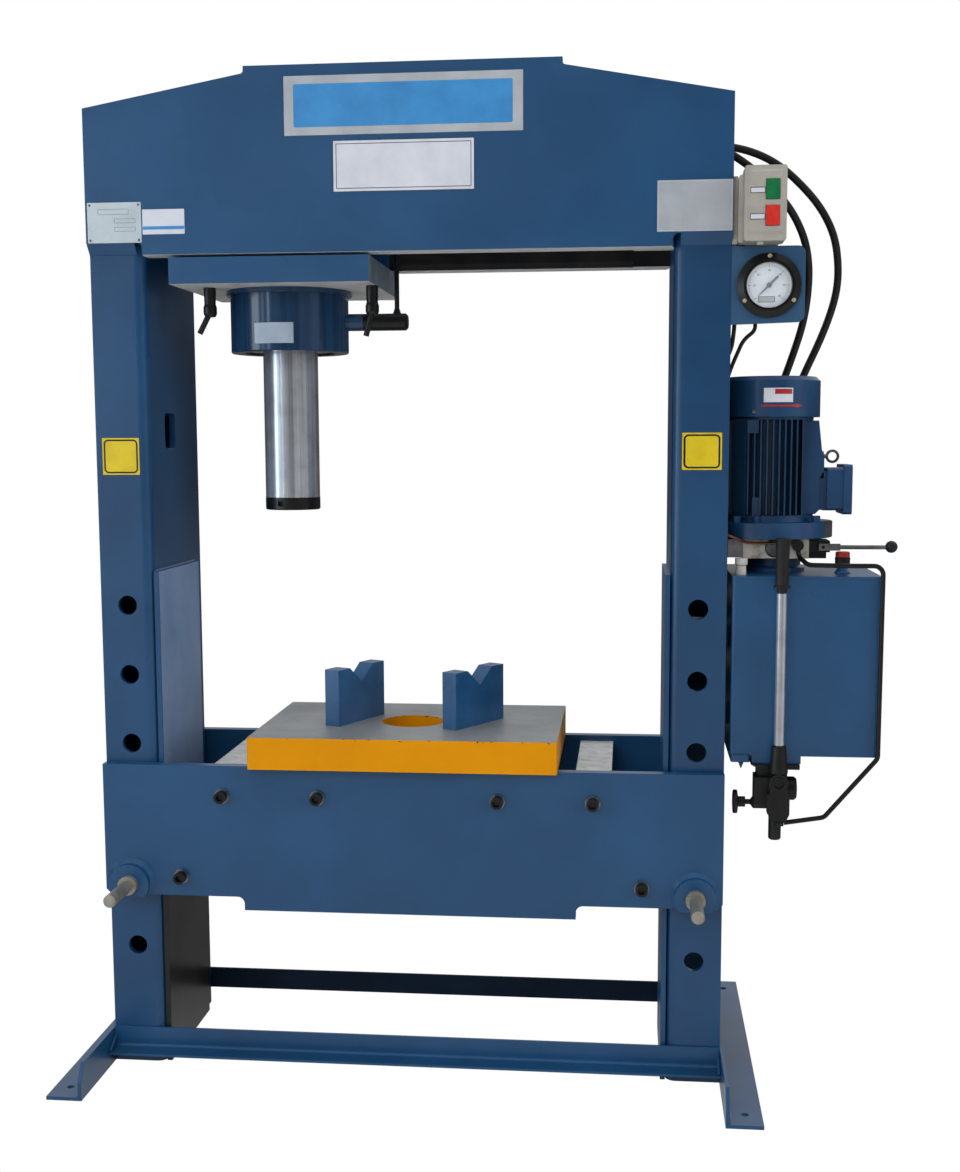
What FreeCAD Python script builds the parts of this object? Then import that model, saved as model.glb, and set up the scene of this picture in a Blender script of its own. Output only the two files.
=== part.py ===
import FreeCAD, Part
import math
import os
import re
import Sketcher

# Hydraulic workshop press with a travelling cylinder, millimetres.
# X runs to the right, Y to the back, Z up; the floor is z = 0.

os.makedirs("parts", exist_ok=True)
doc = FreeCAD.newDocument("hydraulic_press")

sizes = {
    # welded frame
    "inner_half": 504, "column_width": 106, "column_half_depth": 170, "column_plate": 12,
    "column_reach": 132, "column_bend": 20, "side_plate": 8, "doubler_plate": 10, "doubler_top": 1000,
    "doubler_front": 165, "doubler_back": 105, "web_slot": 68, "web_slot_height": 71,
    "web_slot_y": 35, "web_slot_z": 1277, "web_slot_corner": 14,
    "pin_hole": 38, "pin_first": 244, "pin_pitch": 138.2, "pin_rows": 6,
    "crown_plate": 18, "crown_bottom": 1608, "notch_rise": 24, "notch_step": 3,
    "corner_rise": 273, "step_rise": 329, "crown_rise": 342, "crown_step_x": 298,
    "rail_width": 42, "rail_height": 90, "rail_chamfer": 11, "rail_chamfer_end": 430,
    "foot_width": 70, "foot_plate": 7, "foot_half_length": 365, "foot_tip": 34, "foot_tip_run": 22,
    "anchor_hole": 14, "anchor_reach": 38, "anchor_y": 320,
    "tie_leg": 45, "tie_plate": 5, "tie_bottom": 28,
    # bed
    "beam_plate": 22, "beam_gap": 2, "beam_top": 621, "beam_height": 264, "beam_drop": 27,
    "beam_deep_x": 328, "beam_chamfer": 10, "boss_radius": 40, "boss_height": 20, "boss_weld": 8,
    "spacer_width": 70, "spacer_height": 96, "spacer_drop": 12, "spacer_end_half": 30,
    "bolt_drop": 60, "bolt_outer_left": 369, "bolt_inner_left": 178, "bolt_inner_right": 176,
    "bolt_outer_right": 360, "bolt_end_inset": 49, "bolt_end_rise": 39, "bolt_head": 24,
    "bolt_head_height": 16, "bolt_hex": 14, "bolt_shank": 16, "bolt_hole": 17.4, "bolt_grip": 40,
    "washer": 30, "washer_height": 3,
    "pin_diameter": 36, "pin_shoulder": 38, "pin_handle": 25, "pin_tip": 325, "pin_row": 1,
    "table_left": 310, "table_right": 292, "table_front": 221, "table_back": 177, "table_height": 63,
    "table_hole": 128, "table_hole_x": 12, "table_hole_y": 23,
    "block_length": 160, "block_width": 34, "block_height": 114, "block_notch": 81, "block_depth": 33,
    # carriage and cylinder
    "carriage_x": 260, "carriage_left": 191, "carriage_right": 195, "carriage_half": 186,
    "carriage_gap": 5, "carriage_thick": 50, "hanger_y": 100, "hanger_plate": 20, "hanger_width": 60,
    "wheel_x": 155, "wheel_diameter": 60, "wheel_width": 24, "wheel_y": 149, "axle": 25,
    "barrel": 236, "barrel_bore": 180, "barrel_drop": 122, "barrel_length": 507, "barrel_cap": 25,
    "collar": 252, "collar_height": 10, "gland_height": 46, "gland_recess": 4,
    "rod": 110, "piston_height": 60, "piston_rise": 172, "tip": 111, "tip_height": 25, "ram_reach": 314,
    "port": 34, "port_rise": 61, "port_boss": 34, "port_length": 89, "port_pipe": 9.5,
    "port_pipe_inset": 22, "port_pipe_drop": 58,
    "clamp_y": 110, "clamp_left": 133, "clamp_right": 188, "clamp_stud": 12, "clamp_hub": 26,
    "clamp_drop": 56, "clamp_arm": 11,
    # controls
    "box_gap": 16, "box_width": 75, "box_height": 132.5, "box_front": 240, "box_lid": 50, "box_back": 130,
    "box_shoulder": 7, "panel_rise": 2.5, "button_inset": 25, "green_rise": 90, "red_rise": 44,
    "button_width": 24, "button_height": 35, "button_rise": 4.5,
    "gauge_reach": 68, "gauge_rise": 70.5, "gauge_ring": 117, "gauge_window": 83,
    "gauge_plate_width": 134, "gauge_plate_height": 142, "gauge_plate": 6,
    # power unit
    "tank_gap": 10, "tank_width": 277, "tank_low": 655, "tank_height": 344, "tank_front": 170,
    "tank_back": 110,
    "motor_reach": 77, "motor_y": 20, "flange": 250, "flange_height": 31, "motor_height": 232,
    "fan_cover": 194, "fan_cover_height": 77, "motor_shell": 150, "fin_reach": 95,
    "fin_pitch": 11.5, "fin_plate": 3,
    "manifold_reach": 23, "manifold_width": 125, "manifold_height": 38, "manifold_front": 110,
    "manifold_back": 62, "bell_height": 29,
    "valve_width": 40, "valve_drop": 10, "valve_height": 44, "valve_back": 40,
    "lever_rise": 23, "lever_reach": 152, "ball": 23,
    "breather_reach": 213, "breather_y": 100, "plug_reach": 19, "plug_y": 130,
    "pump_y": 200, "pump_reach": 89.5, "pump_drop": 44, "grip_rise": 369, "grip_length": 93, "grip": 26,
    "pump_tube": 19, "knob_drop": 44.4, "knob": 46,
    "copper": 5, "gauge_hose": 7.5, "steel_tube": 9, "hose": 15,
}

# places and edges that follow from the sizes
rules = {
    "frame_half": "inner_half + column_width",
    "pin_x": "inner_half + column_width / 2",
    "column_top": "crown_bottom + column_reach",
    "crown_corner": "crown_bottom + corner_rise",
    "crown_step": "crown_bottom + step_rise",
    "crown_top": "crown_bottom + crown_rise",
    "crown_notch": "crown_bottom + notch_rise",
    "crown_notch_x": "inner_half - notch_step",
    "anchor_x": "frame_half + anchor_reach",
    "beam_low": "beam_top - beam_height",
    "beam_deep": "beam_low - beam_drop",
    "spacer_high": "beam_top - spacer_drop",
    "spacer_low": "spacer_high - spacer_height",
    "bolt_z": "beam_top - bolt_drop",
    "bolt_end_x": "inner_half - bolt_end_inset",
    "bolt_end_z": "beam_low + bolt_end_rise",
    "carriage_high": "crown_bottom - carriage_gap",
    "carriage_low": "carriage_high - carriage_thick",
    "axle_z": "crown_bottom + rail_height + wheel_diameter / 2",
    "hanger_high": "axle_z + hanger_width / 2",
    "barrel_low": "carriage_low - barrel_drop",
    "barrel_high": "barrel_low + barrel_length",
    "piston_low": "barrel_low + piston_rise",
    "tip_low": "barrel_low - ram_reach",
    "port_z": "barrel_low + port_rise",
    "port_boss_x": "carriage_x - barrel / 2 - port_boss",
    "port_end_x": "port_boss_x - port_length",
    "port_pipe_x": "port_end_x + port_pipe_inset",
    "port_pipe_top": "barrel_high - port_pipe_drop",
    "clamp_left_x": "carriage_x + clamp_left",
    "clamp_right_x": "carriage_x - clamp_right",
    "clamp_hub_low": "carriage_low - clamp_drop",
    "box_left": "frame_half + box_gap",
    "box_right": "box_left + box_width",
    "box_low": "crown_bottom",
    "box_high": "box_low + box_height",
    "button_x": "box_right - button_inset",
    "green_z": "box_low + green_rise",
    "red_z": "box_low + red_rise",
    "gauge_plate_high": "box_low",
    "gauge_plate_low": "gauge_plate_high - gauge_plate_height",
    "gauge_plate_right": "frame_half + gauge_plate_width",
    "gauge_x": "frame_half + gauge_reach",
    "gauge_z": "gauge_plate_low + gauge_rise",
    "tank_left": "frame_half + tank_gap",
    "tank_right": "tank_left + tank_width",
    "tank_high": "tank_low + tank_height",
    "motor_x": "tank_left + motor_reach",
    "manifold_left": "tank_left + manifold_reach",
    "manifold_right": "manifold_left + manifold_width",
    "manifold_low": "tank_high + bell_height",
    "flange_low": "manifold_low + manifold_height",
    "fan_cover_low": "flange_low + motor_height",
    "fan_cover_high": "fan_cover_low + fan_cover_height",
    "valve_right": "manifold_right + valve_width",
    "valve_low": "manifold_low - valve_drop",
    "valve_high": "valve_low + valve_height",
    "lever_z": "manifold_low + lever_rise",
    "ball_x": "manifold_right + lever_reach",
    "breather_x": "tank_left + breather_reach",
    "plug_x": "tank_left + plug_reach",
    "pump_x": "tank_left + pump_reach",
    "pump_z": "tank_low - pump_drop",
    "knob_z": "pump_z - knob_drop",
}

sheet = doc.addObject("Spreadsheet::Sheet", "Sizes")
cells = {alias: str(value) for alias, value in sizes.items()}
cells.update({alias: "=" + rule for alias, rule in rules.items()})
for row, (alias, text) in enumerate(cells.items(), start=1):
    sheet.set("A%d" % row, alias)
    sheet.set("B%d" % row, text)
    sheet.setAlias("B%d" % row, alias)
doc.recompute()


def bind(thing, prop, text):
    """Tie a property to sheet values named in a plain formula."""
    def named(match):
        word = match.group()
        return "Sizes." + word if word in cells else word
    thing.setExpression(prop, re.sub(r"[a-z_][a-z_0-9]*", named, str(text)))


def place(piece, point):
    for letter, text in zip("xyz", point):
        bind(piece, "Placement.Base." + letter, text)
    return piece


turn_to = {
    "x": FreeCAD.Rotation(FreeCAD.Vector(0, 1, 0), 90),
    "y": FreeCAD.Rotation(FreeCAD.Vector(1, 0, 0), -90),
    "z": FreeCAD.Rotation(),
}


def box(name, corner, size):
    piece = doc.addObject("Part::Box", name)
    for prop, text in zip(("Length", "Width", "Height"), size):
        bind(piece, prop, text)
    return place(piece, corner)


def bar(name, axis, start, diameter, length):
    """Round bar running from start along an axis."""
    piece = doc.addObject("Part::Cylinder", name)
    piece.Placement = FreeCAD.Placement(FreeCAD.Vector(), turn_to[axis])
    bind(piece, "Radius", "(%s) / 2" % diameter)
    bind(piece, "Height", length)
    return place(piece, start)


def cone(name, axis, start, first, last, length):
    piece = doc.addObject("Part::Cone", name)
    piece.Placement = FreeCAD.Placement(FreeCAD.Vector(), turn_to[axis])
    bind(piece, "Radius1", "(%s) / 2" % first)
    bind(piece, "Radius2", "(%s) / 2" % last)
    bind(piece, "Height", length)
    return place(piece, start)


def ball(name, centre, diameter):
    piece = doc.addObject("Part::Sphere", name)
    bind(piece, "Radius", "(%s) / 2" % diameter)
    return place(piece, centre)


def join(name, pieces):
    if len(pieces) == 1:
        return pieces[0]
    whole = doc.addObject("Part::MultiFuse", name)
    whole.Shapes = pieces
    whole.Refine = True
    return whole


def cut(name, base, tools):
    whole = doc.addObject("Part::Cut", name)
    whole.Base = base
    whole.Tool = join(name + "_tools", tools)
    return whole


def group(name, pieces):
    whole = doc.addObject("Part::Compound", name)
    whole.Links = pieces
    return whole


def plane_of(body, role):
    return next(item for item in body.Origin.OriginFeatures if item.Role == role)


def outline(body, plane, corners):
    """Closed sketch through corners whose distances come from the sheet."""
    sketch = body.newObject("Sketcher::SketchObject", body.Name + "_sketch")
    sketch.AttachmentSupport = [(plane_of(body, plane), "")]
    sketch.MapMode = "FlatFace"
    count = len(corners)
    turn = 2 * math.pi / count
    spots = [FreeCAD.Vector(500 * math.cos(turn * i), 500 * math.sin(turn * i), 0) for i in range(count)]
    for i in range(count):
        sketch.addGeometry(Part.LineSegment(spots[i], spots[(i + 1) % count]))
    for i in range(count):
        sketch.addConstraint(Sketcher.Constraint("Coincident", i, 2, (i + 1) % count, 1))
    for i, corner in enumerate(corners):
        for kind, value, text in zip(("DistanceX", "DistanceY"), spots[i], corner):
            number = sketch.addConstraint(Sketcher.Constraint(kind, -1, 1, i, 1, value))
            bind(sketch, "Constraints[%d]" % number, text)
    return sketch


def prism(name, plane, corners, start, length):
    """Plate or bar of one section, from start along the plane's normal."""
    body = doc.addObject("PartDesign::Body", name)
    sketch = outline(body, plane, corners)
    pad = body.newObject("PartDesign::Pad", name + "_pad")
    pad.Profile = sketch
    pad.Reversed = plane == "XZ_Plane"
    bind(pad, "Length", length)
    sketch.Visibility = False
    axis = {"XY_Plane": "z", "XZ_Plane": "y", "YZ_Plane": "x"}[plane]
    bind(body, "Placement.Base." + axis, start)
    doc.recompute()
    return body


def soften(body, corners, radius, kind="PartDesign::Fillet"):
    """Round or bevel the pad's edges that rise from numbered sketch corners."""
    tip = body.Tip
    sketch = next(item for item in body.Group if item.TypeId == "Sketcher::SketchObject")
    normal = sketch.Placement.Rotation.multVec(FreeCAD.Vector(0, 0, 1))
    names = []
    for number in corners:
        spot = sketch.Placement.multVec(sketch.Geometry[number].StartPoint)
        for i, edge in enumerate(tip.Shape.Edges, start=1):
            if len(edge.Vertexes) != 2:
                continue
            first, last = (vertex.Point for vertex in edge.Vertexes)
            run = last - first
            along = run.cross(normal).Length < 1e-6 * max(run.Length, 1)
            if along and (first - spot).cross(normal).Length < 1e-4:
                names.append("Edge%d" % i)
    edit = body.newObject(kind, "%s_edge%d" % (body.Name, len(body.Group)))
    edit.Base = (tip, names)
    bind(edit, "Radius" if kind.endswith("Fillet") else "Size", radius)
    doc.recompute()
    return body


def turned(name, axis, at, profile):
    """Lathe piece: profile corners are (radius, height) along the axis."""
    body = doc.addObject("PartDesign::Body", name)
    sketch = outline(body, "XZ_Plane", profile)
    spin = body.newObject("PartDesign::Revolution", name + "_turn")
    spin.Profile = sketch
    spin.ReferenceAxis = (sketch, ["V_Axis"])
    spin.Angle = 360
    sketch.Visibility = False
    body.Placement = FreeCAD.Placement(FreeCAD.Vector(), turn_to[axis])
    place(body, at)
    doc.recompute()
    return body


def stack(steps, inner="0"):
    """Half section of coaxial steps given as (height, diameter), bottom to top."""
    corners = [(inner, steps[0][0])]
    for (low, diameter), (high, _) in zip(steps, steps[1:]):
        corners.append(("(%s) / 2" % diameter, low))
        corners.append(("(%s) / 2" % diameter, high))
    corners.append((inner, steps[-1][0]))
    return corners


def size(name):
    return float(sheet.get(name))


def bent_path(points, bend, share=0.45):
    """Straight runs joined by tangent arcs, with the arc radii; bend caps them if given."""
    spots = [FreeCAD.Vector(*point) for point in points]
    edges, radii = [], []
    start = spots[0]
    for before, corner, after in zip(spots, spots[1:], spots[2:]):
        arriving = (corner - before).normalize()
        leaving = (after - corner).normalize()
        half = arriving.getAngle(leaving) / 2
        reach = share * min((corner - before).Length, (after - corner).Length)
        if bend:
            reach = min(reach, bend * math.tan(half))
        radii.append(reach / math.tan(half))
        first = corner - arriving * reach
        last = corner + leaving * reach
        inward = (leaving - arriving).normalize()
        middle = corner + inward * (reach / math.sin(half) - reach / math.tan(half))
        edges.append(Part.LineSegment(start, first).toShape())
        edges.append(Part.Arc(first, middle, last).toShape())
        start = last
    edges.append(Part.LineSegment(start, spots[-1]).toShape())
    return Part.Wire(edges), radii


def tube(name, points, diameter, bend=0):
    wire, radii = bent_path(points, bend)
    first = wire.Edges[0]
    ring = Part.Circle(first.Vertexes[0].Point, first.tangentAt(first.FirstParameter), diameter / 2)
    section = Part.Wire([ring.toShape()])
    shape = wire.makePipeShell([section], True, True)
    expected = math.pi * diameter ** 2 / 4 * wire.Length
    print(name, "length %.1f" % wire.Length, "radii", [round(radius) for radius in radii],
          "volume ratio %.4f" % (shape.Volume / expected))
    piece = doc.addObject("Part::Feature", name)
    piece.Shape = shape
    return piece


def column(name, side):
    """Plate bent to a channel that opens outwards, with a doubler; a side plate boxes the left one."""
    web = "inner_half" if side > 0 else "-inner_half"
    tip = "frame_half" if side > 0 else "-frame_half"
    step = "column_plate" if side > 0 else "-column_plate"
    deep = "column_half_depth"
    corners = [(web, "-" + deep), (tip, "-" + deep), (tip, "-%s + column_plate" % deep),
               ("%s + %s" % (web, step), "-%s + column_plate" % deep),
               ("%s + %s" % (web, step), "%s - column_plate" % deep),
               (tip, "%s - column_plate" % deep), (tip, deep), (web, deep)]
    channel = prism(name + "_channel", "XY_Plane", corners, "0", "column_top")
    soften(channel, (0, 7), "column_bend")
    soften(channel, (3, 4), "column_bend - column_plate")
    x = "pin_x" if side > 0 else "-pin_x"
    holes = [bar("%s_hole_%d" % (name, i), "y",
                 (x, "-column_half_depth - 5", "pin_first + %d * pin_pitch" % i),
                 "pin_hole", "2 * column_half_depth + 10") for i in range(int(size("pin_rows")))]
    if side < 0:
        holes.append(rounded_box(name + "_web_slot", "YZ_Plane",
                                 ("-web_slot_y - web_slot / 2", "web_slot_z - web_slot_height / 2"),
                                 ("-web_slot_y + web_slot / 2", "web_slot_z + web_slot_height / 2"),
                                 "-inner_half - 20", "40", "web_slot_corner"))
    x = "inner_half - doubler_plate" if side > 0 else "-inner_half"
    doubler = box(name + "_doubler", (x, "-doubler_front", "0"),
                  ("doubler_plate", "doubler_front + doubler_back", "doubler_top"))
    pieces = [channel, doubler]
    if side < 0:
        pieces.append(box(name + "_side_plate", ("-frame_half", "-column_half_depth + column_plate", "0"),
                          ("side_plate", "2 * (column_half_depth - column_plate)", "column_top")))
    return cut(name, join(name + "_joined", pieces), holes)


def crown_plate(name, side):
    half = [("crown_notch_x", "crown_bottom"), ("crown_notch_x", "crown_notch"),
            ("frame_half", "crown_notch"), ("frame_half", "crown_corner"),
            ("crown_step_x", "crown_step"), ("crown_step_x", "crown_top")]
    corners = half + [("-" + x, z) for x, z in reversed(half)]
    near = "column_half_depth" if side > 0 else "-column_half_depth - crown_plate"
    plate = prism(name + "_plate", "XZ_Plane", corners, near, "crown_plate")
    soften(plate, (1, 10), "12")
    soften(plate, (4, 7), "6")
    face = "column_half_depth" if side > 0 else "-column_half_depth"
    edge = "column_half_depth + crown_plate" if side > 0 else "-column_half_depth - crown_plate"
    welds = []
    for end, start in (("left", "-frame_half"), ("right", "inner_half + 12")):
        weld = prism("%s_weld_%s" % (name, end), "YZ_Plane",
                     [(face, "crown_notch - 22"), (edge, "crown_notch"), (face, "crown_notch")],
                     start, "frame_half - inner_half - 12")
        welds.append(weld)
    return join(name, [plate] + welds)


def crown_rail(name, side):
    outer = "column_half_depth" if side > 0 else "-column_half_depth"
    inner = "column_half_depth - rail_width" if side > 0 else "-column_half_depth + rail_width"
    bevel = inner + (" + rail_chamfer" if side > 0 else " - rail_chamfer")
    top = "crown_bottom + rail_height"
    long_part = prism(name + "_long", "YZ_Plane",
                      [(outer, "crown_bottom"), (bevel, "crown_bottom"),
                       (inner, "crown_bottom + rail_chamfer"), (inner, top), (outer, top)],
                      "-inner_half", "inner_half + rail_chamfer_end")
    end_part = prism(name + "_end", "YZ_Plane",
                     [(outer, "crown_bottom"), (inner, "crown_bottom"), (inner, top), (outer, top)],
                     "rail_chamfer_end", "inner_half - rail_chamfer_end")
    return join(name, [long_part, end_part])


def foot(name, side):
    s = "" if side > 0 else "-"
    corners = [(s + "frame_half", "0"), ("%s(frame_half + foot_width)" % s, "0"),
               ("%s(frame_half + foot_width)" % s, "foot_plate"),
               ("%s(frame_half + foot_plate)" % s, "foot_plate"),
               ("%s(frame_half + foot_plate)" % s, "foot_width"), (s + "frame_half", "foot_width")]
    angle = prism(name + "_angle", "XZ_Plane", corners, "-foot_half_length", "2 * foot_half_length")
    soften(angle, (3,), "6")
    tools = []
    for end, t in (("front", "-"), ("back", "")):
        x = "frame_half - 5" if side > 0 else "-frame_half - foot_plate - 1"
        tools.append(prism("%s_%s_cut" % (name, end), "YZ_Plane",
                           [("%s(foot_half_length + 1)" % t, "foot_tip"),
                            ("%s(foot_half_length + 1)" % t, "foot_width + 1"),
                            ("%s(foot_half_length - foot_tip_run)" % t, "foot_width + 1")],
                           x, "foot_plate + 6"))
        tools.append(bar("%s_%s_hole" % (name, end), "z", (s + "anchor_x", t + "anchor_y", "-1"),
                         "anchor_hole", "foot_plate + 2"))
    return cut(name, angle, tools)


def tie_bar(name, side):
    s = "" if side > 0 else "-"
    low = "tie_bottom"
    corners = [("%scolumn_half_depth" % s, low), ("%s(column_half_depth + tie_leg)" % s, low),
               ("%s(column_half_depth + tie_leg)" % s, low + " + tie_plate"),
               ("%s(column_half_depth + tie_plate)" % s, low + " + tie_plate"),
               ("%s(column_half_depth + tie_plate)" % s, low + " + tie_leg"),
               ("%scolumn_half_depth" % s, low + " + tie_leg")]
    angle = prism(name, "YZ_Plane", corners, "-frame_half", "2 * frame_half")
    return soften(angle, (3,), "6")


bolt_spots = [("-bolt_outer_left", "bolt_z"), ("-bolt_inner_left", "bolt_z"),
              ("bolt_inner_right", "bolt_z"), ("bolt_outer_right", "bolt_z"),
              ("-bolt_end_x", "bolt_end_z"), ("bolt_end_x", "bolt_end_z")]
pin_z = "pin_first + pin_row * pin_pitch"


def bed_beam(name, side):
    half = [("beam_deep_x", "beam_deep"), ("beam_deep_x", "beam_low"), ("frame_half", "beam_low"),
            ("frame_half", "beam_top")]
    corners = half + [("-" + x, z) for x, z in reversed(half)]
    inner = "column_half_depth + beam_gap"
    near = inner if side > 0 else "-(%s + beam_plate)" % inner
    plate = prism(name + "_plate", "XZ_Plane", corners, near, "beam_plate")
    soften(plate, (1, 6), "14")
    soften(plate, (2, 5), "beam_chamfer", "PartDesign::Chamfer")
    pieces = [plate]
    if side < 0:
        face = "-(%s + beam_plate)" % inner
        for end, x in (("left", "-pin_x"), ("right", "pin_x")):
            disc = bar("%s_boss_%s" % (name, end), "y", (x, face + " - boss_height", pin_z),
                       "2 * boss_radius", "boss_height")
            weld = cone("%s_boss_weld_%s" % (name, end), "y", (x, face + " - boss_weld", pin_z),
                        "2 * boss_radius", "2 * boss_radius + 2 * boss_weld", "boss_weld")
            pieces += [disc, weld]
    tools = []
    for i, (x, z) in enumerate(bolt_spots):
        tools.append(bar("%s_bolt_hole_%d" % (name, i), "y", (x, near + " - 1", z), "bolt_hole",
                         "beam_plate + 2"))
    for end, x in (("left", "-pin_x"), ("right", "pin_x")):
        tools.append(bar("%s_bore_%s" % (name, end), "y", (x, near + " - boss_height - 10", pin_z),
                         "pin_diameter + 0.8", "beam_plate + 2 * boss_height + 20"))
        if side < 0:
            tools.append(box("%s_flat_%s" % (name, end),
                             (x + " - 2 * boss_radius", near + " - boss_height - 5", "beam_low - 60"),
                             ("4 * boss_radius", "boss_height + 5", "60")))
    return cut(name, join(name + "_joined", pieces), tools)


def bed_spacers(name):
    reach = "column_half_depth + beam_gap"
    pieces = []
    for i, (x, z) in enumerate(bolt_spots):
        high = z == "bolt_z"
        low = "spacer_low" if high else "bolt_end_z - spacer_end_half"
        tall = "spacer_high - spacer_low" if high else "2 * spacer_end_half"
        block = box("%s_block_%d" % (name, i), (x + " - spacer_width / 2", "-(%s)" % reach, low),
                    ("spacer_width", "2 * (%s)" % reach, tall))
        hole = bar("%s_thread_%d" % (name, i), "y", (x, "-(%s) - 1" % reach, z), "bolt_shank + 0.4",
                   "2 * (%s) + 2" % reach)
        pieces.append(cut("%s_%d" % (name, i), block, [hole]))
    return group(name, pieces)


def bed_bolts(name):
    """Socket head screws with washers, one set front and back."""
    face = "column_half_depth + beam_gap + beam_plate"
    pieces = []
    for side in (-1, 1):
        s = "-" if side < 0 else ""
        for i, (x, z) in enumerate(bolt_spots):
            tag = "%s_%s%d" % (name, "front" if side < 0 else "back", i)
            head_start = "%s(%s + washer_height)%s" % (s, face, " - bolt_head_height" if side < 0 else "")
            head = bar(tag + "_head", "y", (x, head_start, z), "bolt_head", "bolt_head_height")
            shank_end = "- bolt_grip - washer_height" if side < 0 else ""
            shank_start = "%s(%s - bolt_grip)%s" % (s, face, shank_end)
            shank = bar(tag + "_shank", "y", (x, shank_start, z), "bolt_shank", "bolt_grip + washer_height")
            socket = doc.addObject("Part::Prism", tag + "_socket")
            socket.Polygon = 6
            bind(socket, "Circumradius", "bolt_hex / 1.7321")
            bind(socket, "Height", "9")
            socket.Placement = FreeCAD.Placement(FreeCAD.Vector(), turn_to["y"])
            depth = "%s(%s + washer_height + bolt_head_height)%s" % (s, face, " - 1" if side < 0 else " - 8")
            place(socket, (x, depth, z))
            screw = cut(tag + "_screw", join(tag + "_solid", [head, shank]), [socket])
            start = "%s(%s)%s" % (s, face, " - washer_height" if side < 0 else "")
            disc = bar(tag + "_disc", "y", (x, start, z), "washer", "washer_height")
            hole = bar(tag + "_eye", "y", (x, start + " - 1", z), "bolt_hole", "washer_height + 2")
            pieces += [screw, cut(tag + "_washer", disc, [hole])]
    return group(name, pieces)


def bed_pin(name, side):
    x = "pin_x" if side > 0 else "-pin_x"
    front = "column_half_depth + beam_gap + beam_plate + boss_height"
    back = "column_half_depth + beam_gap + beam_plate + 14"
    return turned(name, "y", (x, "0", pin_z),
                  [("0", "-pin_tip"), ("pin_handle / 2 - 2", "-pin_tip"), ("pin_handle / 2", "-pin_tip + 2"),
                   ("pin_handle / 2", "-(%s) - 12" % front), ("pin_shoulder / 2", "-(%s) - 12" % front),
                   ("pin_shoulder / 2", "-(%s)" % front), ("pin_diameter / 2", "-(%s)" % front),
                   ("pin_diameter / 2", back + " - 4"), ("pin_diameter / 2 - 4", back), ("0", back)])


def table_plate(name):
    corners = [("-table_left", "-table_front"), ("table_right", "-table_front"),
               ("table_right", "table_back"), ("-table_left", "table_back")]
    slab = prism(name + "_slab", "XY_Plane", corners, "beam_top", "table_height")
    soften(slab, (0, 1, 2, 3), "2", "PartDesign::Chamfer")
    hole = bar(name + "_hole", "z", ("-table_hole_x", "-table_hole_y", "beam_top - 1"), "table_hole",
               "table_height + 2")
    return cut(name, slab, [hole])


def v_block(name, centre, angle):
    """Plate stood on edge with a notch across its top edge."""
    half = "block_length / 2"
    corners = [("-" + half, "0"), (half, "0"), (half, "block_height"), ("block_notch / 2", "block_height"),
               ("0", "block_height - block_depth"), ("-block_notch / 2", "block_height"),
               ("-" + half, "block_height")]
    body = doc.addObject("PartDesign::Body", name)
    sketch = outline(body, "XZ_Plane", corners)
    pad = body.newObject("PartDesign::Pad", name + "_pad")
    pad.Profile = sketch
    pad.SideType = "Symmetric"
    bind(pad, "Length", "block_width")
    sketch.Visibility = False
    turn = FreeCAD.Rotation(FreeCAD.Vector(0, 0, 1), angle)
    body.Placement = FreeCAD.Placement(FreeCAD.Vector(), turn)
    place(body, (centre[0], centre[1], "beam_top + table_height"))
    doc.recompute()
    return body


def carriage_plate(name):
    """Slab round the cylinder with four hangers up to the axles and two stud holes."""
    slab = box(name + "_slab", ("-carriage_x - carriage_left", "-carriage_half", "carriage_low"),
               ("carriage_left + carriage_right", "2 * carriage_half", "carriage_high - carriage_low"))
    pieces = [slab]
    tools = [bar(name + "_bore", "z", ("-carriage_x", "0", "carriage_low - 60"), "barrel + 0.8", "200")]
    for end, x in (("left", "-carriage_x - wheel_x"), ("right", "-carriage_x + wheel_x")):
        for side, y in (("front", "-hanger_y - hanger_plate"), ("back", "hanger_y")):
            pieces.append(box("%s_hanger_%s_%s" % (name, end, side),
                              (x + " - hanger_width / 2", y, "carriage_high - 5"),
                              ("hanger_width", "hanger_plate", "hanger_high - carriage_high + 5")))
        tools.append(bar("%s_axle_hole_%s" % (name, end), "y",
                         (x, "-hanger_y - hanger_plate - 5", "axle_z"), "axle + 0.16",
                         "2 * (hanger_y + hanger_plate) + 10"))
    for end, x in (("left", "-clamp_left_x"), ("right", "-clamp_right_x")):
        tools.append(bar("%s_stud_hole_%s" % (name, end), "z", (x, "-clamp_y", "carriage_low - 1"),
                         "clamp_stud + 0.16", "carriage_high - carriage_low + 2"))
    return cut(name, join(name + "_joined", pieces), tools)


def wheelset(name, x):
    """Axle through both hangers with a wheel on each rail."""
    outer = "wheel_y + wheel_width / 2"
    inner = "wheel_y - wheel_width / 2"
    end = outer + " + 4"
    half = [("axle / 2", inner), ("wheel_diameter / 2", inner), ("wheel_diameter / 2", outer),
            ("axle / 2", outer), ("axle / 2", end), ("0", end)]
    mirror = [(radius, "-(%s)" % height) for radius, height in reversed(half)]
    return turned(name, "y", (x, "0", "axle_z"), half + mirror)


def cylinder_barrel(name):
    low, high = "barrel_low", "barrel_high"
    shell = turned(name + "_shell", "z", ("-carriage_x", "0", "0"),
                   [("barrel_bore / 2", low), ("barrel / 2 - 2", low), ("barrel / 2", low + " + 2"),
                    ("barrel / 2", high), ("0", high), ("0", high + " - barrel_cap"),
                    ("barrel_bore / 2", high + " - barrel_cap")])
    boss = bar(name + "_boss", "x", ("-carriage_x + barrel / 2 - 12", "0", "port_z"), "port",
               "carriage_x - barrel / 2 + 12 - port_boss_x")
    return join(name, [shell, boss])


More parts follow.
